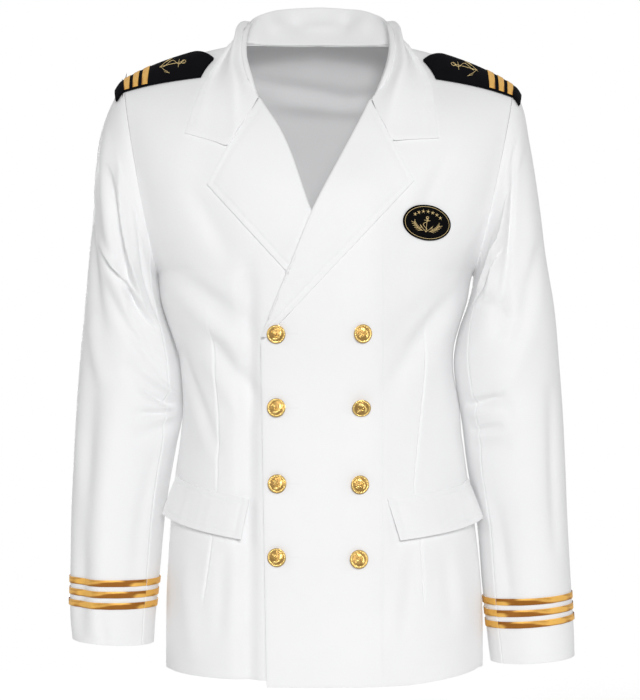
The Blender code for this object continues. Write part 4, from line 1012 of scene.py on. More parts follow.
def along_cut(tree, degrees=0.0, scale=(1.0, 1.0, 1.0)):
    """Coordinates on the cloth's own cut, in metres, turned."""
    cut = node(tree, "ShaderNodeUVMap", uv_map="cut")
    turned = node(tree, "ShaderNodeMapping", (("Vector", cut.outputs["UV"]),
                                              ("Rotation", (0, 0, math.radians(degrees))),
                                              ("Scale", scale)))
    return turned.outputs["Vector"]


def ribs(tree, where, pitch, distortion=0.0):
    """Ribs across the first coordinate, one for each pitch."""
    made = node(tree, "ShaderNodeTexWave",
                (("Vector", where), ("Scale", math.pi / 10.0 / pitch), ("Distortion", distortion),
                 ("Detail", 1.0), ("Detail Scale", 2.0)),
                wave_type="BANDS", bands_direction="X")
    return made.outputs["Fac"]


def twill(name, light, deep, roughness, sheen, painted_glow):
    """Fine twill: slanting ribs, uneven yarns, faint clouding and a painted glow."""
    made, tree, shader = new_material(name, roughness, sheen=sheen, specular=0.35)
    # painted glow: white emission standing in for light that passes through the thin cloth
    shader.inputs["Emission Color"].default_value = (1.0, 1.0, 1.0, 1.0)
    shader.inputs["Emission Strength"].default_value = painted_glow
    clouds = noise(tree, place_in(tree), 14.0, 3.0)
    yarns = noise(tree, along_cut(tree, scale=(1.0, 0.12, 1.0)), 900.0, 2.0)
    slant = ribs(tree, along_cut(tree, TWILL_SLANT), TWILL_PITCH, 0.6)
    tree.links.new(blend_colours(tree, clouds, light, deep), shader.inputs["Base Color"])
    bumps(tree, shader, (clouds, 0.0020, 0.30), (yarns, 0.00012, 0.30), (slant, 0.00010, 0.40))
    return made


def satin(name, light, deep, pitch):
    """Gold satin ribbon or braid: fine cross ribs, and a broken, streaky shine painted into its
    colour as light and deep streaks.
    """
    made, tree, shader = new_material(name, 0.40, 0.35, specular=0.35)
    shader.inputs["Anisotropic"].default_value = 0.6
    # painted shine: light and deep streaks in the colour stand in for glints and dull stretches of
    # the satin; they also drive a soft bump
    painted_shine_streaks = noise(tree, along_cut(tree, scale=(1.0, 5.0, 1.0)), 17.0, 2.0, 0.5)
    painted_shine_streaks = node(tree, "ShaderNodeMapRange", (("Value", painted_shine_streaks), (1, 0.45), (2, 0.57)),
                   interpolation_type="SMOOTHSTEP").outputs["Result"]
    weft = ribs(tree, along_cut(tree), pitch, 0.4)
    tree.links.new(blend_colours(tree, painted_shine_streaks, light, deep), shader.inputs["Base Color"])
    bumps(tree, shader, (painted_shine_streaks, 0.0008, 0.35), (weft, 0.00012, 0.6))
    return made


def nap(name, light, deep):
    """Short-napped dark cloth."""
    made, tree, shader = new_material(name, 0.9, specular=0.05)
    fibres = noise(tree, place_in(tree), 1400.0, 3.0, 0.7)
    patches = noise(tree, place_in(tree), 60.0, 2.0)
    tree.links.new(blend_colours(tree, patches, light, deep), shader.inputs["Base Color"])
    bumps(tree, shader, (fibres, 0.00025, 0.6), (patches, 0.0004, 0.3))
    return made


def black_twill(name, light, deep):
    """Close black ground cloth of a patch."""
    made, tree, shader = new_material(name, 0.85, specular=0.04)
    slant = ribs(tree, along_cut(tree, 45.0), 0.0006, 0.3)
    tree.links.new(blend_colours(tree, slant, deep, light), shader.inputs["Base Color"])
    bumps(tree, shader, (slant, 0.00015, 0.6))
    return made


def gilt(name, bright, deep):
    """Polished gilt, dark in its hollows."""
    made, tree, shader = new_material(name, 0.24, 1.0)
    raised = node(tree, "ShaderNodeAttribute", attribute_name="raised").outputs["Fac"]
    wear = noise(tree, place_in(tree), 500.0, 3.0)
    tree.links.new(blend_colours(tree, raised, deep, bright), shader.inputs["Base Color"])
    bumps(tree, shader, (wear, 0.00008, 0.5))
    return made


def thread(name, light, deep, roughness=0.5, metallic=0.0):
    """Twisted sewing or embroidery thread."""
    made, tree, shader = new_material(name, roughness, metallic, specular=0.4)
    plies = noise(tree, place_in(tree), 1800.0, 2.0)
    tree.links.new(blend_colours(tree, plies, light, deep), shader.inputs["Base Color"])
    bumps(tree, shader, (plies, 0.00008, 0.4))
    return made


def make_materials():
    """All finishes by name."""
    return {
        "cloth": twill("white twill", *FINISH["cloth"], 0.58, 0.10, PAINTED_GLOW["cloth"]),
        # inner faces of the cloth: darker colours as painted shade, plus painted glow
        "inside": twill("inside of the cloth with painted shade", *FINISH["inside"], 0.75, 0.0, PAINTED_GLOW["inside"]),
        "board": nap("napped cloth", *FINISH["board"]),
        "braid": satin("gold ribbon", *FINISH["braid"], 0.0005),
        "gold": gilt("gilt", *FINISH["gold"]),
        "gold thread": thread("gold thread", *FINISH["gold thread"], 0.45),
        "white thread": thread("white thread", *FINISH["white thread"]),
        "patch": black_twill("black twill", *FINISH["patch"]),
    }


# --------------------------------------------------------------- cloth parts
def welt(*distances):
    """Cloth rising softly beside its seams and dipping into them."""
    height, reach = SEAM_WELT
    return sum(height * (d / reach) * np.exp(1 - d / reach) for d in distances)


def dent(distance):
    """Dent that a row of stitches presses into the cloth."""
    return -EDGE_DIP[0] * np.exp(-((distance - EDGE_STITCH) / EDGE_DIP[1]) ** 2)


def hem_dent(distance):
    """Dent over the hem's stitches, at distances from them."""
    return -HEM_DIP[0] * np.exp(-(distance / HEM_DIP[1]) ** 2)


def puckers(along, amount, *waves):
    """Uneven small waves along a stitched edge."""
    return amount * sum(np.sin(2 * math.pi * along / length + phase) for length, phase in waves)


def declare(made, nodes, slot, cut, area, with_pieces=()):
    """Hide the imported parts that a piece stands for."""
    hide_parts(*nodes)


def sew(name, grid, corners, flip, finish, stitch=STITCH):
    """Row of stitches lying on a cloth grid between corners given as (row, column)."""
    path, ups = inset_line(grid, corners, flip)
    starts, ends, up = along_path(path, ups, stitch)
    thick = stitch[2]
    made = threads(name, starts + up * 0.3 * thick, ends + up * 0.3 * thick, up, thick, finish)
    return made


def make_back(finish):
    """Back panel from the hem to the shoulder seams and the neck."""
    across = spread(np.array([-1.0, -BACK_INNER, BACK_INNER, 1.0]), BACK_COLUMNS)
    up = np.concatenate([np.linspace(0, 0.985, BACK_ROWS), np.linspace(0.9875, 1, TOP_ROWS)])
    top = SEAM_END + neck_top_level(across)
    level = above_hem(up[:, None] * top[None, :], HEM_RISE_BACK)
    over = np.broadcast_to(across, level.shape)
    beside = welt((1 - np.abs(over)) * 0.2)
    hem = hem_dent(level * (ARMPIT_Z - HEM_Z) - HEM_RISE_BACK - HEM_STITCH)
    grid = body_surface(BACK, LEFT, level, over, beside + hem)
    made = shell("back_cloth", grid, CLOTH, [finish["cloth"], finish["inside"]], flip=True)
    hem_row = nearest(lengths(grid, 0), HEM_STITCH)
    sewn = sew("back_hem_stitches", grid, ((hem_row, 3), (hem_row, len(across) - 4)), False,
               finish["white thread"])
    declare(made, ["back"], "cloth", *CUTS["back"], [sewn])


def line_across(side, level, line, low, high):
    """Where a line seen from the front crosses each level, by halving."""
    line = np.array(line)
    low = low + np.zeros(np.shape(level))
    high = high + np.zeros(np.shape(level))
    for _ in range(30):
        middle = 0.5 * (low + high)
        here = body_point(FRONT, level, side * middle)
        wanted = np.interp(here[..., 2], line[:, 1], line[:, 0])
        inside = side * here[..., 0] < wanted
        low = np.where(inside, middle, low)
        high = np.where(inside, high, middle)
    return high


def front_lift(side, level, across):
    """Dart, facing edge, hem and seams of a front panel."""
    here = body_point(FRONT, level, side * across)
    x, z = side * here[..., 0], here[..., 2]
    line = np.array(DART_LINES[side])
    away = x - np.interp(z, line[:, 1], line[:, 0])
    lift = welt((1 - across) * 0.2)
    share_depth, place, half_width = DART_SOFT
    for top, bottom, depth in DART_STRETCHES:
        share = (top - z) / (top - bottom)
        fade = ease(share / 0.35) * ease((1 - share) / 0.2)
        lift = lift - depth * fade * np.exp(-(away / DART_HALF_WIDTH) ** 2)
        lift = lift + share_depth * depth * fade * np.exp(-((away - place) / half_width) ** 2)
    lift = lift + hem_dent(z - HEM_Z - 0.006 - HEM_STITCH)
    if side == LEFT:
        step = ease((FACING_X + FACING_STEP[1] - x) / (2 * FACING_STEP[1]))
        lift = lift + FACING_STEP[0] * step * ease((-0.215 - z) / 0.03)
    else:
        place, half_width, depth = EDGE_HOLLOW
        lift = lift - depth * np.exp(-((x - place) / half_width) ** 2) * ease((-0.230 - z) / 0.06)
    return lift


def make_front(side, finish):
    """Front panel from the closing edge and roll line to the side and armhole."""
    turn = (np.array((BREAK_Z - BREAK_RUN, BREAK_Z)) - HEM_Z) / (ARMPIT_Z - HEM_Z)
    level = np.sort(np.concatenate([np.linspace(0, 1.985, FRONT_ROWS), turn,
                                    np.linspace(1.989, 2, 5)]))
    start = front_edge_across(side, level, ROLL_SETBACK)
    dart = line_across(side, level, DART_LINES[side], start + 0.02, 0.96)
    knots = [start, dart - DART_BAND, dart + DART_BAND, np.full_like(dart, FRONT_INNER),
             np.ones_like(dart)]
    counts = (40, 24, 26, 8)
    if side == LEFT:
        facing = line_across(side, level, ((FACING_X, -0.8), (FACING_X, 0.1)), start + 0.015,
                             dart - 0.035)
        knots[1:1] = [facing - FACING_BAND, facing + FACING_BAND]
        counts = (26, 10, 10, 24, 26, 8)
    across = spread(np.stack(knots, axis=-1), counts)
    level = above_hem(level[:, None], np.interp(across, HEM_ACROSS, HEM_RISE[side]))
    grid = body_surface(FRONT, side, level, side * across, front_lift(side, level, across))
    flip = side == RIGHT
    name = SIDE_NAME[side]
    made = shell("front_cloth_" + name, grid, CLOTH, [finish["cloth"], finish["inside"]], flip)
    hem_row = nearest(lengths(grid, 0), HEM_STITCH)
    sewn = sew("front_hem_stitches_" + name, grid,
               ((hem_row, 2), (hem_row, across.shape[1] - 4)), not flip, finish["white thread"])
    declare(made, ["front_" + name], "cloth", *CUTS["front"], [sewn])


def make_sleeve(side, finish):
    """Top sleeve and under sleeve, with their seams, hem and the stitches above the cuff edge."""
    down = np.concatenate([[0.0, 0.0015, 0.0035, 0.006, 0.010], np.linspace(0.015, 1, 175)])[:, None]
    hem_down = 1.0 - HEM_STITCH / SLEEVE_LENGTH
    flip = side == RIGHT
    ribbons = make_ribbons(side, finish)
    for name, start, end, facets in SLEEVE_CUTS:
        knots = np.array([start, start + 4, end - 4, end])
        angle = spread(knots, (7, 5 * facets, 8))[None, :]
        edge = np.radians(np.minimum(angle - start, end - angle)) * SLEEVE_GIRTH_RADIUS
        lift = welt(edge, down * SLEEVE_LENGTH)
        lift = lift + hem_dent((down - hem_down) * SLEEVE_LENGTH)
        grid = sleeve_surface(side, down, angle, lift)
        label = name + "cloth_" + SIDE_NAME[side]
        made = shell(label, grid, CLOTH, [finish["cloth"], finish["inside"]], flip)
        hem_row = nearest(down[:, 0], hem_down)
        sewn = sew(name + "hem_stitches_" + SIDE_NAME[side], grid,
                   ((hem_row, 2), (hem_row, angle.shape[1] - 3)), not flip, finish["white thread"])
        declare(made, [name + SIDE_NAME[side]], "cloth", *CUTS[name], [sewn, *ribbons])
        ribbons = []


def make_lapel(side, finish):
    """Lapel rolled back over the front it is cut in one with, topstitched round its edge."""
    shares = np.linspace(0.05, 1.0, 56)
    roll, leaf, down = lapel_leaf(side, shares, 121)
    radius = ROLL_RADIUS[side][0] + (ROLL_RADIUS[side][1] - ROLL_RADIUS[side][0]) * down
    radius = radius * (1 - 0.7 * ease((down - 0.88) / 0.12))
    here = on_front(side, side * roll[:, 0], roll[:, 1])
    level, across = find_on_front(side * roll[:, 0], roll[:, 1])
    normal = body_normal(FRONT, level, across)
    along = unit(np.gradient(here, axis=0))
    inward = unit(np.cross(along, normal))
    inward = inward * -np.sign(inward[:, :1]) * side
    columns = [here - inward * ROLL_TUCK - normal * 0.5 * CLOTH]
    for turn in np.radians(np.linspace(-90, 90, LAPEL_COLUMNS - 1)):
        columns.append(here + inward * radius * (np.cos(turn) - 1)
                       + normal * (radius * (1 + np.sin(turn)) - 0.5 * CLOTH))
    height = 2 * radius - 0.5 * CLOTH
    width = np.linalg.norm(leaf[:, -1] - roll, axis=-1)[:, None]
    length = np.linalg.norm(roll[-1] - roll[0])
    to_edge = np.minimum(width * (1 - shares[None, :]), length * down)
    lift = LEAF_LIFT + (height - LEAF_LIFT) * (1 - shares[None, :]) ** 1.5
    lift = lift + dent(to_edge) + puckers(length * down, 0.00016, *PUCKER_WAVES) * np.exp(
        -to_edge / 0.012)
    lift = lift + 0.0014 * np.sin(math.pi * shares[None, :]) ** 2 * np.sin(math.pi * down) ** 0.7
    over = on_front(side, side * leaf[..., 0], leaf[..., 1], lift)
    grid = np.concatenate([np.stack(columns, axis=1), over], axis=1)
    name = SIDE_NAME[side]
    made = shell("lapel_cloth_" + name, grid, DOUBLED, [finish["cloth"]], side == LEFT, offset=0.0)
    declare(made, ["lapel_" + name], "cloth", *CUTS["lapel"])
    inset = EDGE_STITCH / width.max() * 0.95 * len(shares)
    top_row = EDGE_STITCH / length * len(down)
    last = grid.shape[1] - 1
    sew("lapel_stitches_" + name, grid,
        ((top_row, LAPEL_COLUMNS + 0.45 * len(shares)), (top_row, last - inset),
         (len(down) - 12, last - 2.2 * inset)), side == LEFT, finish["white thread"])


def make_collar(finish):
    """Stand and fall in one piece, turned over, with pointed front ends."""
    places = [row[0] for row in COLLAR_ROWS] + [1.0]
    halves = {}
    for side in (LEFT, RIGHT):
        sections = []
        for row in COLLAR_ROWS:
            narrower = row[10] if side == LEFT else 0.0
            spots = [np.array((side * (row[k] - narrower * (k / 7)), row[k + 1], row[k + 2]))
                     for k in (1, 4, 7)]
            sections.append(collar_section(*neck_seam(side, row[0]), *spots))
        sections.append(collar_end(side))
        halves[side] = np.array(sections)
    knots = np.concatenate([-np.array(places)[:0:-1], places])
    loft = np.concatenate([halves[RIGHT][:0:-1], halves[LEFT]])
    fine = np.linspace(-1, 1, 221)
    flat = smooth(knots, loft.reshape(len(knots), -1), fine).reshape(len(fine), -1, 3)
    grid = resample(flat, len(flat), 66)
    grid = soften_collar(grid, fine)
    made = shell("collar_cloth", grid, DOUBLED, [finish["cloth"]], offset=0.0)
    declare(made, ["collar"], "cloth", *CUTS["collar"])
    width = lengths(grid, 1)
    edge = nearest(width, width[-1] - EDGE_STITCH)
    end = nearest(lengths(grid, 0), EDGE_STITCH)
    last = len(grid) - 1
    sew("collar_stitches", grid, ((end, 0.62 * edge), (end, edge), (last - end, edge),
                                  (last - end, 0.62 * edge)), False, finish["white thread"])


def soften_collar(grid, places):
    """Collar grid with its soft bumps and the dent of its topstitching."""
    up = grid_up(grid, False)
    width, run = lengths(grid, 1), lengths(grid, 0)
    share = (width / width[-1])[None, :]
    place = places[:, None]
    lift = sum(height * np.exp(-((place - at) / along) ** 2 - ((share - level) / over) ** 2)
               for at, level, along, over, height in COLLAR_BUMPS)
    to_end = np.minimum(run, run[-1] - run)[:, None]
    to_edge = (width[-1] - width)[None, :]
    outside = ease((share - 0.55) / 0.1)
    lift = lift + outside * dent(np.minimum(to_edge, to_end))
    lift = lift + outside * puckers(run[:, None], 0.00018, *PUCKER_WAVES) * np.exp(-to_edge / 0.012)
    return grid + up * lift[..., None]


def make_flap(side, finish):
    """Pocket flap: sewn on along the top, standing off along the bottom, topstitched."""
    (inner_top, inner_low, outer_top, outer_low,
     z_inner_top, z_inner_low, z_outer_top, z_outer_low) = FLAP_ROWS[side]
    last_row, last_column = FLAP_GRID
    down = np.linspace(0, 1, last_row + 1)[:, None]
    along = np.linspace(0, 1, last_column + 1)[None, :]
    across = ((1 - along) * (inner_top + (inner_low - inner_top) * down)
              + along * (outer_top + (outer_low - outer_top) * down))
    z = ((1 - along) * (z_inner_top + (z_inner_low - z_inner_top) * down)
         + along * (z_outer_top + (z_outer_low - z_outer_top) * down))
    level = (z - HEM_Z) / (ARMPIT_Z - HEM_Z)
    stand_off = FLAP_STAND_OFF[0] + (FLAP_STAND_OFF[1] - FLAP_STAND_OFF[0]) * along ** 3
    width, height = CUTS["flap"][0]
    to_edge = np.minimum(np.minimum(along, 1 - along) * width, (1 - down) * height)
    lift = FLAP_TOP_LIFT + stand_off * down ** 1.3 + dent(to_edge) + dent(down * height)
    lift = lift + puckers(along * width, 0.00011, *PUCKER_WAVES) * (0.4 + 0.6 * down)
    lift = lift + 0.0012 * np.sin(math.pi * down) * np.sin(2.2 * math.pi * along + 0.6)
    grid = body_surface(FRONT, side, level, side * across, lift)
    name = SIDE_NAME[side]
    flip = side == LEFT
    made = shell("flap_cloth_" + name, grid, FLAP_WALL, [finish["cloth"]], flip)
    declare(made, ["flap_" + name], "cloth", *CUTS["flap"])
    side_in = EDGE_STITCH / width * last_column
    high = EDGE_STITCH / height * last_row
    low = last_row - high
    sew("flap_stitches_" + name, grid, ((high, 1), (high, last_column - 1)), not flip,
        finish["white thread"])
    sew("flap_edge_stitches_" + name, grid,
        ((high, side_in), (low, side_in), (low, last_column - side_in),
         (high, last_column - side_in)), not flip, finish["white thread"])


# ------------------------------------------------- boards, braid and ribbons
def make_board(side, finish):
    """Padded shoulder board with a rounded rim, three braid stripes and an anchor."""
    along = np.linspace(0, 1, 90)[:, None]
    across = np.linspace(0, 1, 44)[None, :]
    blunt = BOARD_START[0] + (BOARD_START[1] - BOARD_START[0]) * across
    start = BOARD_POINT + (blunt - BOARD_POINT) * np.abs(2 * across - 1)
    grid = board_spot(side, start + (BOARD_END - start) * along, across, BOARD_LIFT)
    name = SIDE_NAME[side]
    flip = side == RIGHT
    made = shell("board_cloth_" + name, grid, BOARD_WALL, [finish["board"]], flip, soften=0.0014)
    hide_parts("board_" + name)
    make_stripes(side, finish)

    def on_board(spots):
        return board_place(side, spots)

    sew_figure("anchor_" + name, anchor_strokes(BOARD_ANCHOR_SIZE), on_board, BOARD_ANCHOR_SPACE,
               finish["gold thread"])


def make_stripes(side, finish):
    """Three stripes of ribbed gold braid across the outer end of a board."""
    across = np.linspace(0.015, 0.985, 40)[None, :]
    for number, start in enumerate(STRIPE_STARTS):
        share = np.linspace(0, 1, 12)[:, None]
        rib = 0.00012 * np.sin(math.pi * share) ** 0.5
        grid = board_spot(side, start + STRIPE_LENGTH * share, across,
                          BOARD_LIFT + STRIPE_WALL + rib)
        label = f"braid_{SIDE_NAME[side]}_{number + 1}"
        made = shell(label, grid, STRIPE_WALL, [finish["braid"]], side == RIGHT, soften=0.0002)
        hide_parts(f"stripe_{SIDE_NAME[side]}_{number + 1}")


def board_place(side, spots):
    """Points over a board for a figure in its plane: x towards the neck, y towards the back."""
    place = BOARD_ANCHOR_AT[0] - spots[..., 0] / SHOULDER_LENGTH
    across = BOARD_ANCHOR_AT[1] - spots[..., 1] / BOARD_WIDTH
    return board_spot(side, place, across, BOARD_LIFT)


def make_ribbons(side, finish):
    """Three satin ribbons round the cuff, slightly buckled, meeting at the sleeve's seam."""
    cut = {name: (start, end) for name, start, end, _ in SLEEVE_CUTS}
    first, last = cut["undersleeve_"][0], cut["sleeve_"][1] + 360.0
    ribbons = []
    over, around = RIBBON_GRID
    angle = np.linspace(first + 0.3, last - 0.3, around)[None, :]
    for number, height in enumerate(RIBBON_STARTS):
        down = np.array([down_at_height(side, height + share * RIBBON_WIDTH)
                         for share in np.linspace(1, 0, over)])[:, None]
        buckle = RIBBON_BUCKLE * (np.sin(np.radians(angle) * 9 + number * 2.1)
                                  * np.sin(np.radians(angle) * 3.7 + number)) ** 2
        grid = sleeve_surface(side, down, angle, RIBBON_GAP + RIBBON_WALL + buckle)
        name = f"{SIDE_NAME[side]}_{number + 1}"
        made = shell("satin_ribbon_" + name, grid, RIBBON_WALL, [finish["braid"]], side == RIGHT,
                     soften=0.0002)
        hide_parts("ribbon_" + name)
        ribbons.append(made)
    return ribbons


# --------------------------------------------------------------- embroidery
def arc(centre, radius, first, last, count=24):
    """Points of an oval from one angle to another."""
    turn = np.radians(np.linspace(first, last, count))
    return np.stack([centre[0] + radius[0] * np.cos(turn),
                     centre[1] + radius[1] * np.sin(turn)], axis=-1)


def wave(start, end, swing, turns, count=40):
    """Rope that winds about the line from start to end."""
    share = np.linspace(0, 1, count)[:, None]
    start, end = np.array(start), np.array(end)
    axis = (end - start) / np.linalg.norm(end - start)
    aside = np.array((-axis[1], axis[0]))
    return start + (end - start) * share + aside * swing * np.sin(2 * math.pi * turns * share)


def anchor_strokes(size):
    """Anchor with a rope round it, ring to the right: (path, width at start, at end)."""
    unit_strokes = (
        (arc((0.46, 0.0), (0.085, 0.085), 0, 360), 0.055, 0.055),
        (np.array(((0.38, 0.0), (-0.47, 0.0))), 0.070, 0.100),
        (np.array(((0.27, -0.20), (0.27, 0.20))), 0.070, 0.070),
        (np.array(((-0.50, 0.0), (-0.33, 0.22), (-0.14, 0.38))), 0.110, 0.060),
        (np.array(((-0.50, 0.0), (-0.33, -0.22), (-0.14, -0.38))), 0.110, 0.060),
        (np.array(((-0.06, 0.45), (-0.24, 0.36))), 0.010, 0.170),
        (np.array(((-0.06, -0.45), (-0.24, -0.36))), 0.010, 0.170),
        (wave((0.46, 0.06), (-0.36, 0.10), 0.15, 1.25), 0.050, 0.050),
    )
    return [(path * size, first * size, last * size) for path, first, last in unit_strokes]


def upright_anchor(size, height=0.0):
    """The anchor with its ring on top, at a height over the middle."""
    return [(path[:, ::-1] * (-1, 1) + (0, height), first, last)
            for path, first, last in anchor_strokes(size)]


def star_strokes(centre, radius):
    """Five-pointed star as short tapering strokes from its middle."""
    strokes = []
    for point in range(5):
        turn = math.radians(90 + 72 * point)
        tip = np.array(centre) + radius * np.array((math.cos(turn), math.sin(turn)))
        strokes.append((np.array((centre, tip)), 0.75 * radius, 0.10 * radius))
    return strokes


def sprig_strokes(side, size):
    """Laurel sprig that curves up from under the anchor, with its leaves in pairs."""
    stem = arc((0.0, 0.42 * size), (0.92 * size, 0.92 * size), -90 + side * 12, -90 + side * 62, 20)
    strokes = [(stem, 0.035 * size, 0.020 * size)]
    for k in (2, 5, 8, 11, 14, 17):
        heading = unit(stem[k + 1] - stem[k - 1])
        for lean in (1, -1):
            turn = math.radians(34 * lean)
            leaf = np.array((heading[0] * math.cos(turn) - heading[1] * math.sin(turn),
                             heading[0] * math.sin(turn) + heading[1] * math.cos(turn)))
            root = stem[k]
            middle = root + 0.11 * size * leaf
            tip = root + 0.24 * size * leaf
            strokes.append((np.array((root, middle)), 0.025 * size, 0.085 * size))
            strokes.append((np.array((middle, tip)), 0.085 * size, 0.015 * size))
    return strokes


def satin_stitches(strokes, space):
    """Both ends of every thread laid across the strokes, in the figure's plane."""
    starts, ends = [], []
    for path, first, last in strokes:
        step = np.linalg.norm(np.diff(path, axis=0), axis=1)
        run = np.concatenate([[0.0], np.cumsum(step)])
        where = np.arange(0.0, run[-1], space)
        share = where / run[-1]
        spot = np.stack([np.interp(where, run, path[:, k]) for k in (0, 1)], axis=-1)
        ahead = np.stack([np.interp(where + 0.5 * space, run, path[:, k])
                          - np.interp(where - 0.5 * space, run, path[:, k]) for k in (0, 1)],
                         axis=-1)
        aside = unit(np.stack([-ahead[:, 1], ahead[:, 0]], axis=-1) + 0.35 * unit(ahead))
        half = 0.5 * (first + (last - first) * share)[:, None]
        starts.append(spot - aside * half)
        ends.append(spot + aside * half)
    return np.concatenate(starts), np.concatenate(ends)


def sew_figure(name, strokes, place, space, finish, height=0.0):
    """Figure sewn in satin stitches on the surface that place() gives for its plane."""
    starts, ends = satin_stitches(strokes, space)
    start, end = place(starts), place(ends)
    middle = place(0.5 * (starts + ends) + np.array((space, 0.0)))
    other = place(0.5 * (starts + ends) + np.array((0.0, space)))
    here = place(0.5 * (starts + ends))
    up = unit(np.cross(middle - here, other - here))
    up = up * np.sign(np.sum(up * figure_out(here), axis=-1, keepdims=True))
    made = threads(name, start + up * height, end + up * height, up, 0.62 * space, finish, arch=1.4)
    return made


def figure_out(spots):
    """Rough direction out of the jacket at points on its front or shoulders."""
    return unit(spots * np.array((0.4, 1.0, 0.0)) + np.array((0.0, -0.02, 0.06)))


def patch_point(spots, lift):
    """Point over the patch for a figure in its plane."""
    cos, sin = math.cos(PATCH_TILT), math.sin(PATCH_TILT)
    x = PATCH_CENTRE[0] + spots[..., 0] * cos - spots[..., 1] * sin
    z = PATCH_CENTRE[1] + spots[..., 0] * sin + spots[..., 1] * cos
    return on_front(LEFT, x, z, lift)


def make_patch(finish):
    """Oval patch: black ground, overcast rim, gold ring, stars over an anchor in two sprigs."""
    rings = np.linspace(0.0, 1.0, 22)[1:]
    turn = np.arange(PATCH_TURNS) * 2 * math.pi / PATCH_TURNS
    oval = np.stack([PATCH_HALF[0] * np.cos(turn), PATCH_HALF[1] * np.sin(turn)], axis=-1)
    flat = np.concatenate([np.zeros((1, 2)), (rings[:, None, None] * oval[None]).reshape(-1, 2)])
    lift = LIE_GAP + PATCH_WALL
    spots = patch_point(flat, lift)
    faces = [[0, 1 + j, 1 + (j + 1) % PATCH_TURNS] for j in range(PATCH_TURNS)]
    faces += (1 + grid_faces(len(rings), PATCH_TURNS, wrap=True)[:, ::-1]).tolist()
    mesh = mesh_of("patch_ground", spots, faces)
    uv = mesh.uv_layers.new(name="cut")
    corners = np.zeros(len(mesh.loops), dtype=int)
    mesh.loops.foreach_get("vertex_index", corners)
    uv.data.foreach_set("uv", flat[corners].reshape(-1))
    made = add_piece("patch_ground", mesh, [finish["patch"]])
    thick = made.modifiers.new("wall", "SOLIDIFY")
    thick.thickness = PATCH_WALL
    thick.offset = -1.0
    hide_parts("patch")
    embroider_patch(lift, finish)


def embroider_patch(lift, finish):
    """Rim, ring, anchor, sprigs and stars of the patch, sewn at a lift over the front."""
    def on_patch(figure):
        return patch_point(figure, lift)

    for name, shares, width, space, slot in (
            ("patch_rim", PATCH_RIM, PATCH_RIM_WIDTH, PATCH_RIM_SPACE, "patch"),
            ("patch_ring", PATCH_RING, PATCH_RING_WIDTH, PATCH_SPACE, "gold thread")):
        oval = arc((0, 0), PATCH_HALF * np.array(shares), 0, 360, 120)
        sew_figure(name, [(oval, width, width)], on_patch, space, finish[slot])
    size, height = PATCH_ANCHOR
    strokes = upright_anchor(size, height)
    size, height = PATCH_SPRIG
    for side in (1, -1):
        strokes += [(path + (0, height), first, last)
                    for path, first, last in sprig_strokes(side, size)]
    count, last_turn, radius = PATCH_STARS
    half_width, half_height, middle = PATCH_STAR_ARC
    for star in np.linspace(-last_turn, last_turn, count):
        turn = math.radians(90 + star)
        centre = (half_width * math.cos(turn), middle + half_height * math.sin(turn))
        strokes += star_strokes(centre, radius)
    sew_figure("patch_figure", strokes, on_patch, PATCH_SPACE, finish["gold thread"])


# ------------------------------------------------------------------ buttons
def distance_to(path, x, z):
    """Distance of points from a path in the plane."""
    nearest_yet = np.full(np.shape(x), 1.0)
    for (ax, az), (bx, bz) in zip(path[:-1], path[1:]):
        dx, dz = bx - ax, bz - az
        along = np.clip(((x - ax) * dx + (z - az) * dz) / (dx * dx + dz * dz + 1e-12), 0, 1)
        nearest_yet = np.minimum(nearest_yet, np.hypot(x - ax - along * dx, z - az - along * dz))
    return nearest_yet


def button_face(radius, turn):
    """Height over the rim and share of relief of a button's face: dome, rope rim and anchor."""
    x, z = radius * np.cos(turn), radius * np.sin(turn)
    rope_radius, rope_half, twists = BUTTON_ROPE
    dome_height, dome_radius = BUTTON_DOME
    dome = dome_height * np.cos(np.clip(radius / dome_radius, 0, 1) * math.pi / 2) ** 0.8
    raised = np.zeros(np.shape(x))
    for path, first, last in upright_anchor(BUTTON_ANCHOR_SIZE):
        raised = np.maximum(raised, 1 - ease(distance_to(path, x, z) / (0.62 * first + 0.0002)))
    sprig_size, sprig_height = BUTTON_SPRIG
    for side in (1, -1):
        for path, first, last in sprig_strokes(side, sprig_size):
            far = distance_to(path + (0, sprig_height), x, z)
            raised = np.maximum(raised, 1 - ease(far / (0.6 * max(first, last) + 0.00015)))
    grain_x, grain_z, grain_height = BUTTON_GRAIN
    grain = 0.5 + 0.5 * np.sin(x * grain_x + 1.1) * np.sin(z * grain_z)
    rope = np.exp(-((radius - rope_radius) / rope_half) ** 2)
    twist = 0.5 + 0.5 * np.cos(twists * turn + 900 * (radius - rope_radius))
    height = (dome + BUTTON_EMBOSS * raised + grain_height * grain
              + BUTTON_ROPE_RISE * rope * (0.55 + 0.45 * twist))
    shine = np.clip(0.12 + 0.30 * grain * (1 - raised) + raised + rope * (0.2 + 0.8 * twist), 0, 1)
    return height, shine


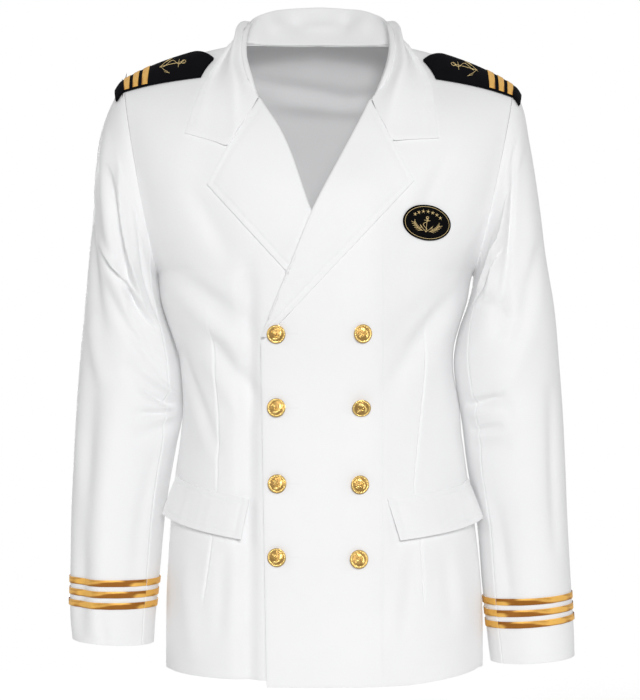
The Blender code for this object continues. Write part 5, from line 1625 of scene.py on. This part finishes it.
def button_mesh():
    """Stamped shank button with a turned-in back."""
    top_radius = BUTTON_PROFILE[4][0]
    radius = np.linspace(0, top_radius, BUTTON_RINGS + 1)[1:, None]
    turn = (np.arange(BUTTON_SPOKES) * 2 * math.pi / BUTTON_SPOKES)[None, :]
    height, shine = button_face(radius, turn)
    base = BUTTON_PROFILE[4][1]
    rings = [np.stack([radius * np.cos(turn), radius * np.sin(turn), base + height], axis=-1)]
    shines = [shine]
    for back_radius, back_height in BUTTON_PROFILE[5:8]:
        rings.append(points(back_radius * np.cos(turn), back_radius * np.sin(turn), back_height))
        shines.append(np.full_like(turn, BUTTON_BACK_SHINE))
    ring_spots = np.concatenate(rings).reshape(-1, 3)
    top_height, top_shine = button_face(np.array([[0.0]]), np.array([[0.0]]))
    spots = np.concatenate([[[0, 0, base + top_height[0, 0]]], ring_spots, [[0, 0, 0]]])
    count = sum(len(ring) for ring in rings)
    faces = [[0, 1 + j, 1 + (j + 1) % BUTTON_SPOKES] for j in range(BUTTON_SPOKES)]
    faces += (1 + grid_faces(count, BUTTON_SPOKES, wrap=True)[:, ::-1]).tolist()
    last = 1 + (count - 1) * BUTTON_SPOKES
    faces += [[last + (j + 1) % BUTTON_SPOKES, last + j, len(spots) - 1]
              for j in range(BUTTON_SPOKES)]
    mesh = mesh_of("stamped_button", spots, faces)
    raised = mesh.attributes.new("raised", "FLOAT", "POINT")
    values = np.concatenate([[top_shine[0, 0]], np.concatenate(shines).reshape(-1),
                             [BUTTON_BACK_SHINE]])
    raised.data.foreach_set("value", values)
    return mesh


def make_buttons(finish):
    """Eight buttons, each leaning on its shank as shown."""
    mesh = button_mesh()
    mesh.materials.append(finish["gold"])
    mesh.shade_smooth()
    for name, x, z, tilt_up, tilt_out, sunk in BUTTON_ROWS:
        made = bpy.data.objects.new("stamped_" + name, mesh)
        bpy.context.scene.collection.objects.link(made)
        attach(made, "root")
        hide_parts(name)
        lean = math.sin(math.radians(math.hypot(tilt_up, tilt_out)))
        raised = max(0.0, BUTTON_PROFILE[4][0] * lean - BUTTON_SHANK)
        level, across = find_on_front(np.array(x), np.array(z))
        normal = Vector(body_normal(FRONT, level, across))
        made.location = Vector(on_front(LEFT, x, z, LIE_GAP - sunk)) + normal * raised
        made.rotation_mode = "QUATERNION"
        tilt = (Quaternion((1, 0, 0), math.radians(tilt_up))
                @ Quaternion((0, 0, 1), math.radians(tilt_out)))
        made.rotation_quaternion = (tilt @ normal.to_track_quat("Z", "Y")
                                    @ Quaternion((0, 0, 1), math.radians(7 * len(name) + 900 * x)))


def left_front_place(spots):
    """Points over the left front, given as seen from the front."""
    return on_front(LEFT, spots[..., 0], spots[..., 1])


def make_buttonholes(finish):
    """Level buttonholes beside the buttons of the closing edge, worked in close stitches."""
    length, width, middle = BUTTONHOLE
    for name, x, z, *_ in BUTTON_ROWS[::2]:
        inner = x + middle
        path = np.array(((inner - 0.5 * length, z), (inner + 0.5 * length, z)))
        strokes = [(path + (0, 0.25 * width), 0.5 * width, 0.5 * width),
                   (path - (0, 0.25 * width), 0.5 * width, 0.5 * width),
                   (np.array(((inner + 0.5 * length, z - 0.5 * width),
                              (inner + 0.5 * length, z + 0.5 * width))), 0.0016, 0.0016)]
        made = sew_figure("hole_" + name, strokes, left_front_place, HOLE_SPACE,
                          finish["white thread"])


# -------------------------------------------------------------- stage, light
def make_camera():
    """The photograph's own view: level, from the front."""
    lens = bpy.data.cameras.new("camera")
    lens.lens = CAMERA_LENS
    camera = bpy.data.objects.new("camera", lens)
    camera.location = CAMERA_AT
    camera.rotation_euler = (math.radians(90), 0, 0)
    bpy.context.scene.collection.objects.link(camera)
    bpy.context.scene.camera = camera


def make_lights():
    """Large soft lamps in a white surround."""
    for name, at, size, power in LAMPS:
        data = bpy.data.lights.new(name, "AREA")
        data.shape = "DISK"
        data.size = size
        data.energy = power
        lamp = bpy.data.objects.new(name, data)
        lamp.location = at
        lamp.rotation_mode = "QUATERNION"
        lamp.rotation_quaternion = (Vector(at) - Vector(LAMPS_AIM)).to_track_quat("Z", "Y")
        bpy.context.scene.collection.objects.link(lamp)
    world = bpy.data.worlds.new("surround")
    bpy.context.scene.world = world
    world.use_nodes = True
    tree = world.node_tree
    tree.nodes.clear()
    ray = node(tree, "ShaderNodeLightPath").outputs
    strength = node(tree, "ShaderNodeMapRange", (("Value", ray["Is Glossy Ray"]), (3, FILL_LIGHT),
                                                 (4, SHINE_LIGHT))).outputs["Result"]
    lit = node(tree, "ShaderNodeBackground", (("Color", (*WHITE, 1.0)), ("Strength", strength)))
    shown = node(tree, "ShaderNodeBackground", (("Color", (*WHITE, 1.0)), ("Strength", 1.0)))
    both = node(tree, "ShaderNodeMixShader", ((0, ray["Is Camera Ray"]), (1, lit.outputs[0]),
                                              (2, shown.outputs[0])))
    node(tree, "ShaderNodeOutputWorld", (("Surface", both.outputs[0]),))


def make_floor():
    """Plain pale floor that fades out away from the jacket."""
    half = FLOOR_HALF
    corners = [(-half, -half, FLOOR_Z), (half, -half, FLOOR_Z), (half, half, FLOOR_Z),
               (-half, half, FLOOR_Z)]
    mesh = mesh_of("floor", corners, [(0, 1, 2, 3)])
    floor = bpy.data.objects.new("floor", mesh)
    bpy.context.scene.collection.objects.link(floor)
    made, tree, shader = new_material("floor", 0.9)
    shader.inputs["Base Color"].default_value = (*WHITE, 1.0)
    distance = node(tree, "ShaderNodeVectorMath", ((0, place_in(tree)), (1, (0, 0, FLOOR_Z))),
                    operation="DISTANCE").outputs["Value"]
    fade = node(tree, "ShaderNodeMapRange", (("Value", distance), (1, 0.35 * half), (2, 0.75 * half),
                                             (3, 1.0), (4, 0.0)), interpolation_type="SMOOTHSTEP")
    tree.links.new(fade.outputs["Result"], shader.inputs["Alpha"])
    mesh.materials.append(made)


def main():
    """Camera, light, floor and all the pieces."""
    bpy.context.scene.view_settings.view_transform = "Standard"
    make_camera()
    make_lights()
    make_floor()
    finish = make_materials()
    make_back(finish)
    make_collar(finish)
    for side in (LEFT, RIGHT):
        make_front(side, finish)
        make_lapel(side, finish)
        make_sleeve(side, finish)
        make_flap(side, finish)
        make_board(side, finish)
    make_patch(finish)
    make_buttons(finish)
    make_buttonholes(finish)


main()
